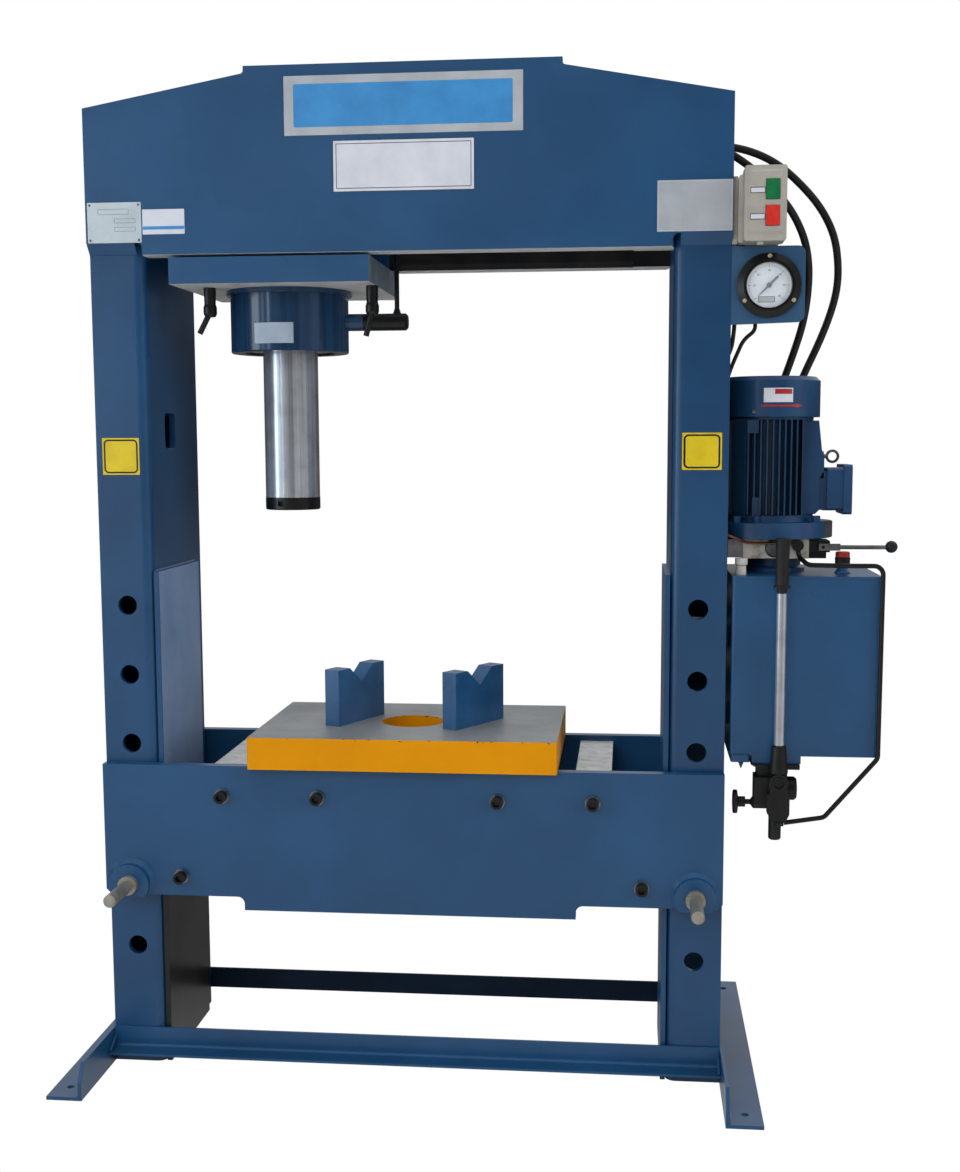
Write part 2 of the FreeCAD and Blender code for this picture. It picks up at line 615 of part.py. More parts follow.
def lock_collar(name):
    return turned(name, "z", ("-carriage_x", "0", "carriage_low - collar_height"),
                  [("barrel / 2 + 0.3", "0"), ("collar / 2 - 2", "0"), ("collar / 2", "2"),
                   ("collar / 2", "collar_height"), ("barrel / 2 + 0.3", "collar_height")])


def gland_ring(name):
    inner, outer = "rod / 2 + 0.08", "barrel_bore / 2"
    low = "barrel_low + gland_recess"
    return turned(name, "z", ("-carriage_x", "0", "0"),
                  [(inner, low), (outer + " - 6", low), (outer + " - 6", low + " + 10"),
                   (outer + " - 0.3", low + " + 10"), (outer + " - 0.3", "barrel_low + gland_height"),
                   (inner, "barrel_low + gland_height")])


def ram_rod(name):
    return turned(name, "z", ("-carriage_x", "0", "0"),
                  stack([("tip_low + tip_height", "rod"), ("piston_low", "barrel_bore - 0.6"),
                         ("piston_low + piston_height", "rod")]))


def ram_tip(name):
    cap = turned(name + "_cap", "z", ("-carriage_x", "0", "tip_low"),
                 [("0", "0"), ("tip / 2 - 2", "0"), ("tip / 2", "2"), ("tip / 2", "tip_height"),
                  ("0", "tip_height")])
    socket = box(name + "_socket", ("-carriage_x - 19", "-tip / 2 - 1", "tip_low + 8"), ("10", "12", "10"))
    return cut(name, cap, [socket])


def port_fitting(name):
    """Fitting screwed on the barrel's port, with a thin pipe up to the barrel's head."""
    start, end = "-port_boss_x", "-port_end_x"
    body = turned(name + "_body", "x", ("0", "0", "port_z"),
                  [("0", start), ("port / 2", start), ("port / 2", end + " - 4"), ("port / 2 - 4", end),
                   ("0", end)])
    flare = cone(name + "_flare", "z", ("-port_pipe_x", "0", "port_z + port / 2 - 3"), "18", "port_pipe + 1",
                 "12")
    x, z = -size("port_pipe_x"), size("port_z") + size("port") / 2 - 2
    top, wall = size("port_pipe_top"), -size("carriage_x") + size("barrel") / 2 + 0.3
    pipe = tube(name + "_pipe", [(x, 0, z), (x, 0, top), (wall, 0, top)], size("port_pipe"))
    return join(name, [body, flare, pipe])


def clamp_lever(name, x, reach):
    """Stud through the carriage plate, hub under it and a slanting arm."""
    low = "clamp_hub_low"
    hub = turned(name + "_hub", "z", (x, "-clamp_y", "0"),
                 [("0", low), ("clamp_hub / 2 - 3", low), ("clamp_hub / 2", low + " + 6"),
                  ("clamp_hub / 2", low + " + 18"), ("clamp_hub / 2 - 2", low + " + 24"),
                  ("clamp_hub / 2 - 1", "carriage_low - 0.2"), ("clamp_stud / 2", "carriage_low - 0.2"),
                  ("clamp_stud / 2", "carriage_high - 4"), ("0", "carriage_high - 4")])
    start = FreeCAD.Vector(size(x.strip("-")) * (-1 if x.startswith("-") else 1), -size("clamp_y"),
                           size("clamp_hub_low") + 10)
    arm = doc.addObject("Part::Cylinder", name + "_arm")
    bind(arm, "Radius", "clamp_arm / 2")
    arm.Height = FreeCAD.Vector(*reach).Length
    lean = FreeCAD.Rotation(FreeCAD.Vector(0, 0, 1), FreeCAD.Vector(*reach))
    arm.Placement = FreeCAD.Placement(start, lean)
    return join(name, [hub, arm])


def rounded_box(name, plane, low, high, start, length, radius, corners=(0, 1, 2, 3)):
    """Box with its long edges rounded; low and high are corners in the plane."""
    spots = [(low[0], low[1]), (high[0], low[1]), (high[0], high[1]), (low[0], high[1])]
    body = prism(name, plane, spots, start, length)
    return soften(body, corners, radius)


def control_box(name):
    """Two-button starter: back shell, lid with a bevelled panel, and the lid's latch."""
    lid = rounded_box(name + "_lid", "XZ_Plane", ("box_left", "box_low"), ("box_right", "box_high"),
                      "-box_front", "box_lid", "5")
    back = rounded_box(name + "_back", "XZ_Plane", ("box_left - box_shoulder", "box_low + 3"),
                       ("box_right - 3", "box_high - 8"), "-box_front + box_lid - 2",
                       "box_front - box_lid - box_back + 2", "6")
    panel = doc.addObject("Part::Wedge", name + "_panel")
    edges = {"Ymin": "-box_front - panel_rise", "Ymax": "-box_front + 1",
             "X2min": "box_left + 4.5", "X2max": "box_right - 5",
             "Z2min": "box_low + 9.5", "Z2max": "box_high - 6",
             "Xmin": "box_left + 10.5", "Xmax": "box_right - 8.5",
             "Zmin": "box_low + 16.5", "Zmax": "box_high - 12"}
    for prop, text in edges.items():
        bind(panel, prop, text)
    latch = box(name + "_latch", ("box_left + 24", "-box_front + 4", "box_low - 6"), ("11", "8", "8"))
    tools = []
    for end in ("green", "red"):
        tools.append(box("%s_%s_pocket" % (name, end),
                         ("button_x - button_width / 2 - 0.5", "-box_front - button_rise",
                          "%s_z - button_height / 2 - 0.5" % end),
                         ("button_width + 1", "button_rise + 18", "button_height + 1")))
    return cut(name, join(name + "_shell", [lid, back, panel, latch]), tools)


def button(name, z):
    return rounded_box(name, "XZ_Plane", ("button_x - button_width / 2", z + " - button_height / 2"),
                       ("button_x + button_width / 2", z + " + button_height / 2"),
                       "-box_front - button_rise", "button_rise + 12.5", "2")


def gauge_plate(name):
    plate = prism(name + "_sheet", "XZ_Plane",
                  [("frame_half", "gauge_plate_low"), ("gauge_plate_right", "gauge_plate_low + 4"),
                   ("gauge_plate_right", "gauge_plate_high"), ("frame_half", "gauge_plate_high")],
                  "-column_half_depth", "gauge_plate")
    soften(plate, (1, 2), "14")
    hole = bar(name + "_hole", "y", ("gauge_x", "-column_half_depth - 1", "gauge_z"), "gauge_ring - 19",
               "gauge_plate + 2")
    return cut(name, plate, [hole])


def gauge_case(name):
    face = "-column_half_depth"
    body = turned(name + "_body", "y", ("gauge_x", "0", "gauge_z"),
                  [("0", face + " + 40"), ("gauge_ring / 2 - 14", face + " + 40"),
                   ("gauge_ring / 2 - 10", face + " + 36"), ("gauge_ring / 2 - 10", face),
                   ("gauge_ring / 2", face), ("gauge_ring / 2", face + " - 6"),
                   ("gauge_window / 2 + 5", face + " - 14"), ("gauge_window / 2", face + " - 14"),
                   ("gauge_window / 2", face + " - 2"), ("0", face + " - 2")])
    stem = bar(name + "_stem", "z", ("gauge_x - 20", face + " + 45", "gauge_z - 60"), "14", "46")
    bridge = box(name + "_bridge", ("gauge_x - 30", face + " + 34", "gauge_z - 34"), ("20", "20", "24"))
    return join(name, [body, stem, bridge])


def gauge_disc(name, near, thickness):
    return bar(name, "y", ("gauge_x", "-column_half_depth - %s" % near, "gauge_z"), "gauge_window - 0.6",
               thickness)


def gauge_needle(name):
    face = "-column_half_depth"
    hub = bar(name + "_hub", "y", ("gauge_x", face + " - 7.7", "gauge_z"), "9", "4")
    blade = prism(name + "_blade", "XZ_Plane",
                  [("-1.8", "-23"), ("1.8", "-23"), ("1.8", "0"), ("0.5", "28"), ("-0.5", "28"),
                   ("-1.8", "0")], face + " - 6.4", "1.2")
    place(blade, ("gauge_x", face + " - 6.4", "gauge_z"))
    whole = join(name + "_upright", [hub, blade])
    turn = doc.addObject("Part::Compound", name)
    turn.Links = [whole]
    centre = FreeCAD.Vector(size("gauge_x"), 0, size("gauge_z"))
    angle = FreeCAD.Rotation(FreeCAD.Vector(0, 1, 0), -135)
    turn.Placement = FreeCAD.Placement(FreeCAD.Vector(), angle, centre)
    return turn


def tank(name):
    """Welded oil tank with lid, its hanging strips, front tab and pump bracket."""
    shell = rounded_box(name + "_shell", "XY_Plane",
                        ("tank_left", "-tank_front"), ("tank_right", "tank_back"),
                        "tank_low", "tank_high - tank_low - 5", "7")
    lid = rounded_box(name + "_lid", "XY_Plane", ("tank_left - 0.5", "-tank_front - 1"),
                      ("tank_right + 1", "tank_back + 1"), "tank_high - 5", "5", "8")
    pieces = [shell, lid]
    for i, z in enumerate(("tank_low + 40", "tank_high - 150")):
        pieces.append(box("%s_strip_%d" % (name, i), ("inner_half + column_plate", "-60", z),
                          ("tank_left - inner_half - column_plate + 5", "120", "45")))
    tab = rounded_box(name + "_tab", "XY_Plane", ("tank_left + 2", "-tank_front - 5"),
                      ("tank_left + 38", "tank_front - 120"), "tank_low - 12", "14", "6", (0, 1))
    hook = cone(name + "_tab_point", "z", ("tank_left + 22", "-tank_front + 6", "tank_low - 26"), "1", "13",
                "15")
    head = bar(name + "_tab_bolt", "z", ("tank_left + 22", "-tank_front + 6", "tank_low - 13"), "13", "3")
    block = box(name + "_block", ("tank_left + 42", "-tank_front", "tank_low - 15"),
                ("92", "110", "17"))
    return join(name, pieces + [tab, hook, head, block])


def manifold(name):
    low, high = "manifold_low", "manifold_height"
    main = box(name + "_main", ("manifold_left", "-manifold_front", low),
               ("manifold_width", "manifold_front + manifold_back", high))
    left = box(name + "_side", ("manifold_left - 28", "-manifold_front + 8", low + " + 1"),
               ("29", "90", high + " - 3"))
    plug = turned(name + "_plug", "y", ("manifold_left + 60", "-manifold_front", low + " + 20"),
                  [("0", "-7"), ("8", "-7"), ("8", "-4.5"), ("15", "-4.5"), ("18", "-1.5"), ("18", "2"),
                   ("0", "2")])
    return join(name, [main, left, plug])


def bell_housing(name):
    high = "bell_height"
    return turned(name, "z", ("motor_x + 11.5", "-motor_y", "tank_high"),
                  [("0", "0"), ("62", "0"), ("62", "7"), ("54", "11"), ("54", high), ("0", high)])


def motor_body(name):
    """Finned vertical motor with flange, corner posts, terminal pad and lifting eye."""
    low = "flange_low"
    step = low + " + flange_height"
    end = "fan_cover_low"
    shell = turned(name + "_shell", "z", ("motor_x", "-motor_y", "0"),
                   [("0", low), ("flange / 2 - 1", low), ("flange / 2", low + " + 1"),
                    ("flange / 2", step + " - 1"), ("flange / 2 - 1", step), ("fin_reach - 6", step),
                    ("fin_reach - 8", step + " + 13"), ("motor_shell / 2", step + " + 15"),
                    ("motor_shell / 2", end + " - 8"), ("fan_cover / 2 - 12", end + " - 6"),
                    ("fan_cover / 2 - 12", end + " + 0.3"), ("fan_cover / 2 - 3.2", end + " + 0.3"),
                    ("fan_cover / 2 - 3.2", end + " + 2"), ("0", end + " + 2")])
    pieces = [shell]
    tall = "motor_height - flange_height - 20"
    for i in range(-4, 6):
        across = "(%d * fin_pitch)" % i
        half = "sqrt(fin_reach ^ 2 - %s ^ 2)" % across
        pieces.append(box("%s_fin_%d" % (name, i + 4),
                          ("motor_x + %s - fin_plate / 2" % across, "-motor_y - " + half, step + " + 14"),
                          ("fin_plate", "2 * " + half, tall)))
    for i in range(-4, 5):
        across = "(%d * fin_pitch)" % i
        half = "sqrt(fin_reach ^ 2 - %s ^ 2)" % across
        pieces.append(box("%s_side_fin_%d" % (name, i + 4),
                          ("motor_x - " + half, "-motor_y + %s - fin_plate / 2" % across, step + " + 14"),
                          (half, "fin_plate", tall)))
    for i, angle in enumerate((-131, 131, 49)):
        post = doc.addObject("Part::Box", "%s_post_%d" % (name, i))
        bind(post, "Length", "fin_reach - 50")
        bind(post, "Width", "30")
        bind(post, "Height", tall + " + 8")
        turn = FreeCAD.Rotation(FreeCAD.Vector(0, 0, 1), angle)
        root = turn.multVec(FreeCAD.Vector(50, -15, 0))
        post.Placement = FreeCAD.Placement(FreeCAD.Vector(), turn)
        place(post, ("motor_x + %.3f" % root.x, "-motor_y + %.3f" % root.y, step + " + 8"))
        pieces.append(post)
    nuts = ((-67, -85, 9), (85, -67, 9), (67, 85, 9), (-85, 67, 9), (-30, -95, 7))
    for i, (x, y, radius) in enumerate(nuts):
        nut = doc.addObject("Part::Prism", "%s_nut_%d" % (name, i))
        nut.Polygon = 6
        nut.Circumradius = radius
        nut.Height = 13
        pieces.append(place(nut, ("motor_x + %d" % x, "-motor_y + %d" % y, step + " - 1")))
    pieces.append(box(name + "_top_lug",
                      ("motor_x - 49", "-motor_y - 88", end + " - 31"), ("22", "60", "25")))
    pieces.append(box(name + "_low_lug", ("motor_x - 38", "-motor_y - 88", step), ("15", "60", "48")))
    pad = prism(name + "_pad", "XZ_Plane",
                [("motor_x + 50", step + " + 14"), ("motor_x + 86", step + " + 14"),
                 ("motor_x + 94", step + " + 22"), ("motor_x + 94", step + " + 84"),
                 ("motor_x + 102", step + " + 98"), ("motor_x + 102", step + " + 122"),
                 ("motor_x + 97", step + " + 138"), ("motor_x + 94", step + " + 165"),
                 ("motor_x + 90.5", end + " - 7"), ("motor_x + 50", end + " - 7")],
                "-motor_y - 46", "92")
    eye_z = low + " + 156"
    lug = bar(name + "_lug", "x", ("motor_x + 90", "-motor_y", eye_z), "20", "16")
    stalk = bar(name + "_stalk", "x", ("motor_x + 104", "-motor_y", eye_z), "8", "9")
    eye = doc.addObject("Part::Torus", name + "_eye")
    eye.Radius1 = 10.8
    eye.Radius2 = 2.7
    eye.Placement = FreeCAD.Placement(FreeCAD.Vector(), FreeCAD.Rotation(FreeCAD.Vector(1, 0, 0), 90))
    place(eye, ("motor_x + 123", "-motor_y", eye_z))
    return join(name, pieces + [pad, lug, stalk, eye])


def fan_cover(name):
    low, high = "fan_cover_low", "fan_cover_high"
    cup = turned(name + "_cup", "z", ("motor_x", "-motor_y", "0"),
                 [("fan_cover / 2 - 3", low), ("fan_cover / 2", low), ("fan_cover / 2", high + " - 8"),
                  ("fan_cover / 2 - 8", high), ("0", high), ("0", high + " - 3"),
                  ("fan_cover / 2 - 9", high + " - 3"), ("fan_cover / 2 - 3", high + " - 9")])
    tools = []
    for i in range(7):
        width = (math.cos(math.radians((i - 3) * 24)) * 0.74)
        tools.append(box("%s_slot_%d" % (name, i),
                         ("motor_x - fan_cover / 2 * %.3f" % width, "-motor_y - 4 + %d" % ((i - 3) * 22),
                          high + " - 5"), ("fan_cover * %.3f" % width, "8", "10")))
    return cut(name, cup, tools)


def motor_fan(name):
    """Fan on the motor shaft under the cover."""
    low = "fan_cover_low + 2.3"
    pieces = [turned(name + "_hub", "z", ("motor_x", "-motor_y", "0"),
                     [("0", low), ("22", low), ("22", low + " + 6"), ("70", low + " + 6"),
                      ("70", low + " + 10"), ("22", low + " + 14"), ("22", low + " + 50"),
                      ("0", low + " + 50")])]
    for i in range(6):
        blade = doc.addObject("Part::Box", "%s_blade_%d" % (name, i))
        bind(blade, "Length", "fan_cover / 2 - 36")
        bind(blade, "Width", "3")
        bind(blade, "Height", "40")
        turn = FreeCAD.Rotation(FreeCAD.Vector(0, 0, 1), 60 * i)
        root = turn.multVec(FreeCAD.Vector(18, -1.5, 0))
        hub = FreeCAD.Vector(size("motor_x"), -size("motor_y"), size("fan_cover_low") + 11)
        blade.Placement = FreeCAD.Placement(hub + root, turn)
        pieces.append(blade)
    return join(name, pieces)


def terminal_box(name):
    y = "-motor_y - 52"
    low, high = "flange_low + 52", "flange_low + 134"
    neck = box(name + "_neck", ("motor_x + 102", y + " + 8", low), ("8", "88", "75"))
    lower = box(name + "_neck_low", ("motor_x + 94", y + " + 8", low + " + 1"), ("12", "88", "61"))
    case = rounded_box(name + "_case", "YZ_Plane", (y, low), (y + " + 104", high), "motor_x + 107.5",
                       "32", "8")
    cover = rounded_box(name + "_cover", "YZ_Plane",
                        (y + " - 3", low + " - 7.5"), (y + " + 107", high + " + 6.5"),
                        "motor_x + 139", "16", "8")
    gland = bar(name + "_gland", "y", ("motor_x + 125", y + " + 100", low + " + 42"), "20", "18")
    return join(name, [neck, lower, case, cover, gland])


def directional_valve(name):
    width = "valve_right - manifold_right"
    block = box(name + "_block", ("manifold_right", "-manifold_front + 4", "valve_low + 22"),
                (width, "manifold_front - valve_back - 4", "valve_high - valve_low - 22"))
    lower = box(name + "_lower", ("manifold_right", "-manifold_front + 9", "valve_low + 10"),
                (width + " - 6", "manifold_front - valve_back - 18", "14"))
    ear = box(name + "_ear",
              ("manifold_right + 18", "-manifold_front - 2", "lever_z - 12"), ("14", "8", "24"))
    pin = bar(name + "_pin", "y", ("manifold_right + 25", "-manifold_front - 17", "lever_z"), "6", "16")
    return join(name, [block, lower, ear, pin])


def valve_lever(name):
    """Forked lever with a round rod and ball knob."""
    y = "-manifold_front - 9"
    fork = box(name + "_fork", ("manifold_right + 17", y + " - 6", "lever_z - 6.5"), ("40", "6.5", "13"))
    hole = bar(name + "_eye", "y", ("manifold_right + 25", y + " - 9", "lever_z"), "6.16", "20")
    rod = bar(name + "_rod", "x", ("manifold_right + 50", y + " - 3", "lever_z"), "8",
              "ball_x - manifold_right - 55")
    knob = ball(name + "_knob", ("ball_x", y + " - 3", "lever_z + 1"), "ball")
    return join(name, [cut(name + "_forked", fork, [hole]), rod, knob])


def breather(name):
    return turned(name, "z", ("breather_x", "-breather_y", "tank_high"),
                  [("0", "0"), ("15", "0"), ("15", "3"), ("10", "9"), ("10", "12"), ("14", "18"),
                   ("14.5", "30"), ("13.5", "32"), ("13.5", "40"), ("12", "42"), ("0", "42")])


def filler_plug(name):
    return turned(name, "z", ("plug_x", "-plug_y", "tank_high"),
                  [("0", "0"), ("10", "0"), ("10", "6"), ("9", "17"), ("12", "19"), ("12", "31"),
                   ("0", "31")])


def copper_pipe(name):
    """Gauge line: a covered upper run down inside the column, bare below to the banjo."""
    face, low = size("frame_half"), size("flange_low")
    x, z = size("gauge_x") - 20, size("gauge_z") - 60
    drop = (z - low - 84) / 326.5
    front = size("manifold_front") + 14
    upper = tube(name + "_upper", [(x, -125, z), (x, -125, z - 18), (face + 26, -126, z - 36 * drop),
                                   (face - 2, -132, z - 101 * drop), (face - 20, -146, z - 176 * drop),
                                   (face - 20, -146, low + 84)], size("gauge_hose"))
    end = size("manifold_left") + 90.7
    lower = tube(name + "_lower", [(face - 20, -146, low + 84), (face - 20, -146, low + 44),
                                   (face - 5, -146, low + 12), (face + 12, -142, low + 4.5),
                                   (face + 24, -137, low), (face + 39.5, -front, low - 7),
                                   (end, -front, low - 8)], size("copper"))
    return join(name, [upper, lower])


def steel_pipe(name):
    """Pump pipe from the manifold's banjo fitting round the tank to the hand pump."""
    front, low = size("manifold_front"), size("flange_low")
    banjo_x, right = size("manifold_left") + 102, size("tank_right")
    top, deep = size("tank_high") + 21, size("tank_low")
    pump_x, pump_z, clear = size("pump_x"), size("pump_z"), size("tank_front") + 8
    pipe = tube(name + "_pipe", [(banjo_x, -front - 12, low - 18), (banjo_x + 3, -front - 24, low - 34),
                                 (banjo_x + 16, -front - 52, top), (banjo_x + 90, -clear, top),
                                 (right, -clear, top), (right - 1, -clear, deep),
                                 (pump_x + 88, -clear - 8, pump_z - 69.5),
                                 (pump_x + 13.5, -clear - 8, pump_z - 81.5)],
                size("steel_tube"), 17)
    banjo = bar(name + "_banjo", "y", ("manifold_left + 102", "-manifold_front - 22", "flange_low - 11.5"),
                "22", "22")
    return join(name, [pipe, banjo])


def pump_body(name):
    """Hand pump hanging from a plate under the tank."""
    y = "-pump_y"
    plate = prism(name + "_plate", "XZ_Plane",
                  [("pump_x - 35", "tank_low - 24"), ("pump_x + 42", "tank_low - 24"),
                   ("pump_x + 42", "tank_low - 15"), ("pump_x - 50", "tank_low - 15")],
                  "-pump_y + 20", "96")
    neck = box(name + "_neck", ("pump_x - 37", y + " + 22", "pump_z - 2"), ("56", "50", "pump_drop - 22"))
    side = box(name + "_side", ("pump_x - 43", y + " + 10", "pump_z - 44"), ("30", "50", "50"))
    core = turned(name + "_core", "z", ("pump_x - 2", y + " + 32", "pump_z"),
                  [("0", "-118"), ("10", "-118"), ("12", "-115"), ("12", "-65"), ("19", "-55"), ("19", "1"),
                   ("0", "1")])
    valve = turned(name + "_valve", "x", ("0", y + " + 25", "knob_z"),
                   [("0", "pump_x - 50"), ("5", "pump_x - 50"), ("12.5", "pump_x - 44"),
                    ("12.5", "pump_x - 20"), ("0", "pump_x - 20")])
    cap = turned(name + "_cap", "x", ("0", y + " + 38.1", "pump_z - 19.6"),
                 [("0", "pump_x + 14"), ("22.5", "pump_x + 14"), ("22.5", "pump_x + 33"),
                  ("19", "pump_x + 37.5"), ("0", "pump_x + 37.5")])
    port = bar(name + "_port", "x", ("pump_x - 2", y + " + 14", "pump_z - 81.5"), "14", "14.5")
    fork = []
    for i, near in enumerate((" - 14", " + 8.5")):
        fork.append(prism("%s_cheek_%d" % (name, i), "XZ_Plane",
                          [("pump_x - 15", "pump_z"), ("pump_x - 17", "pump_z - 20"),
                           ("pump_x - 22", "pump_z - 22"), ("pump_x - 22", "pump_z - 49"),
                           ("pump_x - 16", "pump_z - 69"), ("pump_x + 13", "pump_z - 75"),
                           ("pump_x + 20.5", "pump_z - 59"), ("pump_x + 20.5", "pump_z - 22"),
                           ("pump_x + 17", "pump_z - 20"), ("pump_x + 15", "pump_z")], y + near, "5.5"))
        fork.append(bar("%s_cheek_top_%d" % (name, i), "y", ("pump_x", y + near, "pump_z"), "36", "5.5"))
    fork.append(bar(name + "_ring", "y", ("pump_x", y + " - 16", "pump_z"), "25", "4"))
    recess = bar(name + "_recess", "y", ("pump_x", y + " - 17", "pump_z"), "19", "6")
    clevis = cut(name + "_clevis", join(name + "_fork", fork), [recess])
    back = box(name + "_back", ("pump_x - 14", y + " + 13", "pump_z - 56"), ("31", "16", "60"))
    pivot = bar(name + "_pivot", "y", ("pump_x", y + " - 11", "pump_z"), "19", "25")
    foot = box(name + "_foot", ("pump_x - 20", y + " - 9", "pump_z - 60"), ("38", "24", "40"))
    return join(name, [plate, neck, side, core, valve, cap, port, clevis, back, pivot, foot])


def pump_lever(name):
    """Socket on the pivot, chrome tube and grip."""
    y = "-pump_y"
    eye = bar(name + "_eye", "y", ("pump_x", y + " - 8", "pump_z"), "36", "16")
    bore = bar(name + "_bore", "y", ("pump_x", y + " - 9", "pump_z"), "19.16", "18")
    low, high = "grip_rise", "grip_rise + grip_length"
    arm = turned(name + "_arm", "z", ("pump_x", y, "pump_z"),
                 [("0", "12"), ("7.5", "12"), ("7.5", "18.6"), ("17.5", "18.6"), ("17.5", "26"),
                  ("13.6", "69"), ("12", "71"), ("pump_tube / 2", "71"), ("pump_tube / 2", low),
                  ("16", low), ("16", low + " + 4"), ("grip / 2 - 0.5", low + " + 6"),
                  ("grip / 2", high + " - 2"), ("grip / 2 - 2", high), ("0", high)])
    return cut(name, join(name + "_solid", [eye, arm]), [bore])


def release_knob(name):
    """Hand wheel, hub and spindle of the pump's release valve."""
    edge = "pump_x - 82.5"
    return turned(name, "x", ("0", "-pump_y + 25", "knob_z"),
                  [("0", edge), ("knob / 2 - 2", edge), ("knob / 2", edge + " + 2"),
                   ("knob / 2 - 1", edge + " + 8"), ("10", edge + " + 10"), ("10", edge + " + 23"),
                   ("5", edge + " + 23.5"), ("5", "pump_x - 50.3"), ("0", "pump_x - 50.3")])


hose_ends = {"outer": (725, 90, 41), "inner": (682, 50, 49)}


def hose_fittings(name):
    """Bulkhead plate inside the crown with two unions, and two elbows on the manifold."""
    pieces = []
    plate = box(name + "_plate", ("frame_half - 110", "20", "crown_corner - 80"), ("6", "150", "76"))
    holes = []
    back, low = size("manifold_back"), size("manifold_low")
    for end, (x, y, drop) in hose_ends.items():
        z = "crown_corner - %d" % drop
        holes.append(bar("%s_%s_hole" % (name, end), "x", ("frame_half - 112", y, z), "20", "10"))
        union = bar("%s_%s_union" % (name, end), "x", ("frame_half - 140", y, z), "19.6", "80")
        nut = doc.addObject("Part::Prism", "%s_%s_nut" % (name, end))
        nut.Polygon = 6
        nut.Circumradius = 15
        nut.Height = 14
        nut.Placement = FreeCAD.Placement(FreeCAD.Vector(), turn_to["x"])
        place(nut, ("frame_half - 104", y, z))
        pieces.append(join("%s_%s" % (name, end), [union, nut]))
        bend = tube("%s_%s_bend" % (name, end),
                    [(x, back, low + 19), (x, 130, low + 19), (x, 130, low + 90)], 17)
        collar = bar("%s_%s_collar" % (name, end), "z", (x, "130", "manifold_low + 70"), "21", "20")
        base = bar("%s_%s_base" % (name, end), "y", (x, "manifold_back", "manifold_low + 19"), "24", "12")
        pieces.append(join("%s_%s_elbow" % (name, end), [bend, collar, base]))
    return group(name, [cut(name + "_bulkhead", plate, holes)] + pieces)


def control_cable(name):
    """Cable from the control box down the column and round to the terminal box."""
    face, top, low = size("frame_half"), size("box_low") + 3, size("flange_low")
    x, end = size("motor_x") + 125, 66 - size("motor_y")
    return tube(name, [(face + 22, -150, top), (face + 22, -150, top - 16), (face + 12, -149, top - 44),
                       (face + 9, -148, top - 96), (face + 8, -147, top - 151), (face + 2, -145, top - 196),
                       (face - 28, -138, top - 231), (face - 54, -110, top - 261),
                       (face - 58, -40, top - 291),
                       (face - 58, 60, low + 224), (face - 30, 130, low + 194), (face + 40, 158, low + 164),
                       (face + 130, 158, low + 134), (x - 22, 140, low + 106), (x, 108, low + 94),
                       (x, end, low + 94)], 8)


column("column_left", -1)
column("column_right", 1)
crown_plate("crown_front_plate", -1)
crown_plate("crown_rear_plate", 1)
crown_rail("crown_front_rail", -1)
crown_rail("crown_rear_rail", 1)
foot("foot_left", -1)
foot("foot_right", 1)
tie_bar("tie_bar_front", -1)
tie_bar("tie_bar_rear", 1)
bed_beam("bed_front_beam", -1)
bed_beam("bed_rear_beam", 1)
bed_spacers("bed_spacers")
bed_bolts("bed_bolts")
bed_pin("bed_pin_left", -1)
bed_pin("bed_pin_right", 1)
table_plate("table_plate")
v_block("v_block_left", ("-133", "-18"), 65)
v_block("v_block_right", ("114", "-39"), 59)
carriage_plate("carriage_plate")
wheelset("wheelset_left", "-carriage_x - wheel_x")
wheelset("wheelset_right", "-carriage_x + wheel_x")
cylinder_barrel("cylinder_barrel")
lock_collar("lock_collar")
gland_ring("gland_ring")
ram_rod("ram_rod")
ram_tip("ram_tip")
port_fitting("port_fitting")
clamp_lever("clamp_lever_left", "-clamp_left_x", (-22, 0, -42))
clamp_lever("clamp_lever_right", "-clamp_right_x", (-13, 0, -50))
control_box("control_box")
box("control_bracket", ("frame_half", "-column_half_depth - 6", "box_low + 3"),
    ("box_gap - box_shoulder", "40", "box_height - 11"))
button("button_green", "green_z")
button("button_red", "red_z")
gauge_plate("gauge_plate")
gauge_case("gauge_case")
gauge_disc("gauge_dial", "3.5", "1.5")
gauge_needle("gauge_needle")
gauge_disc("gauge_glass", "12", "2")
tank("tank")
manifold("manifold")
bell_housing("bell_housing")
motor_body("motor_body")
fan_cover("fan_cover")
motor_fan("motor_fan")
terminal_box("terminal_box")
directional_valve("directional_valve")
valve_lever("valve_lever")
breather("breather")
filler_plug("filler_plug")
copper_pipe("copper_pipe")
steel_pipe("steel_pipe")
pump_body("pump_body")
pump_lever("pump_lever")
release_knob("release_knob")
hose_fittings("hose_fittings")
tube("hose_outer", [(550, 90, 1840), (600, 90, 1840), (664, 92, 1827), (720, 95, 1799),
                    (772, 100, 1752), (807, 105, 1710), (832, 108, 1660), (841, 112, 1604),
                    (840, 116, 1555), (828, 120, 1506), (808, 124, 1452), (779, 128, 1388),
                    (756, 130, 1330), (738, 130, 1265), (727, 130, 1210), (725, 130, 1170),
                    (725, 130, 1118)], size("hose"))
tube("hose_inner", [(550, 50, 1832), (592, 50, 1832), (650, 52, 1796), (690, 56, 1762),
                    (727, 60, 1723), (752, 66, 1687), (771, 73, 1644), (780, 84, 1597),
                    (780, 97, 1545), (774, 108, 1494), (762, 117, 1448), (744, 127, 1392),
                    (722, 130, 1330), (702, 130, 1270), (686, 130, 1210), (682, 130, 1170),
                    (682, 130, 1118)], size("hose"))
control_cable("control_cable")

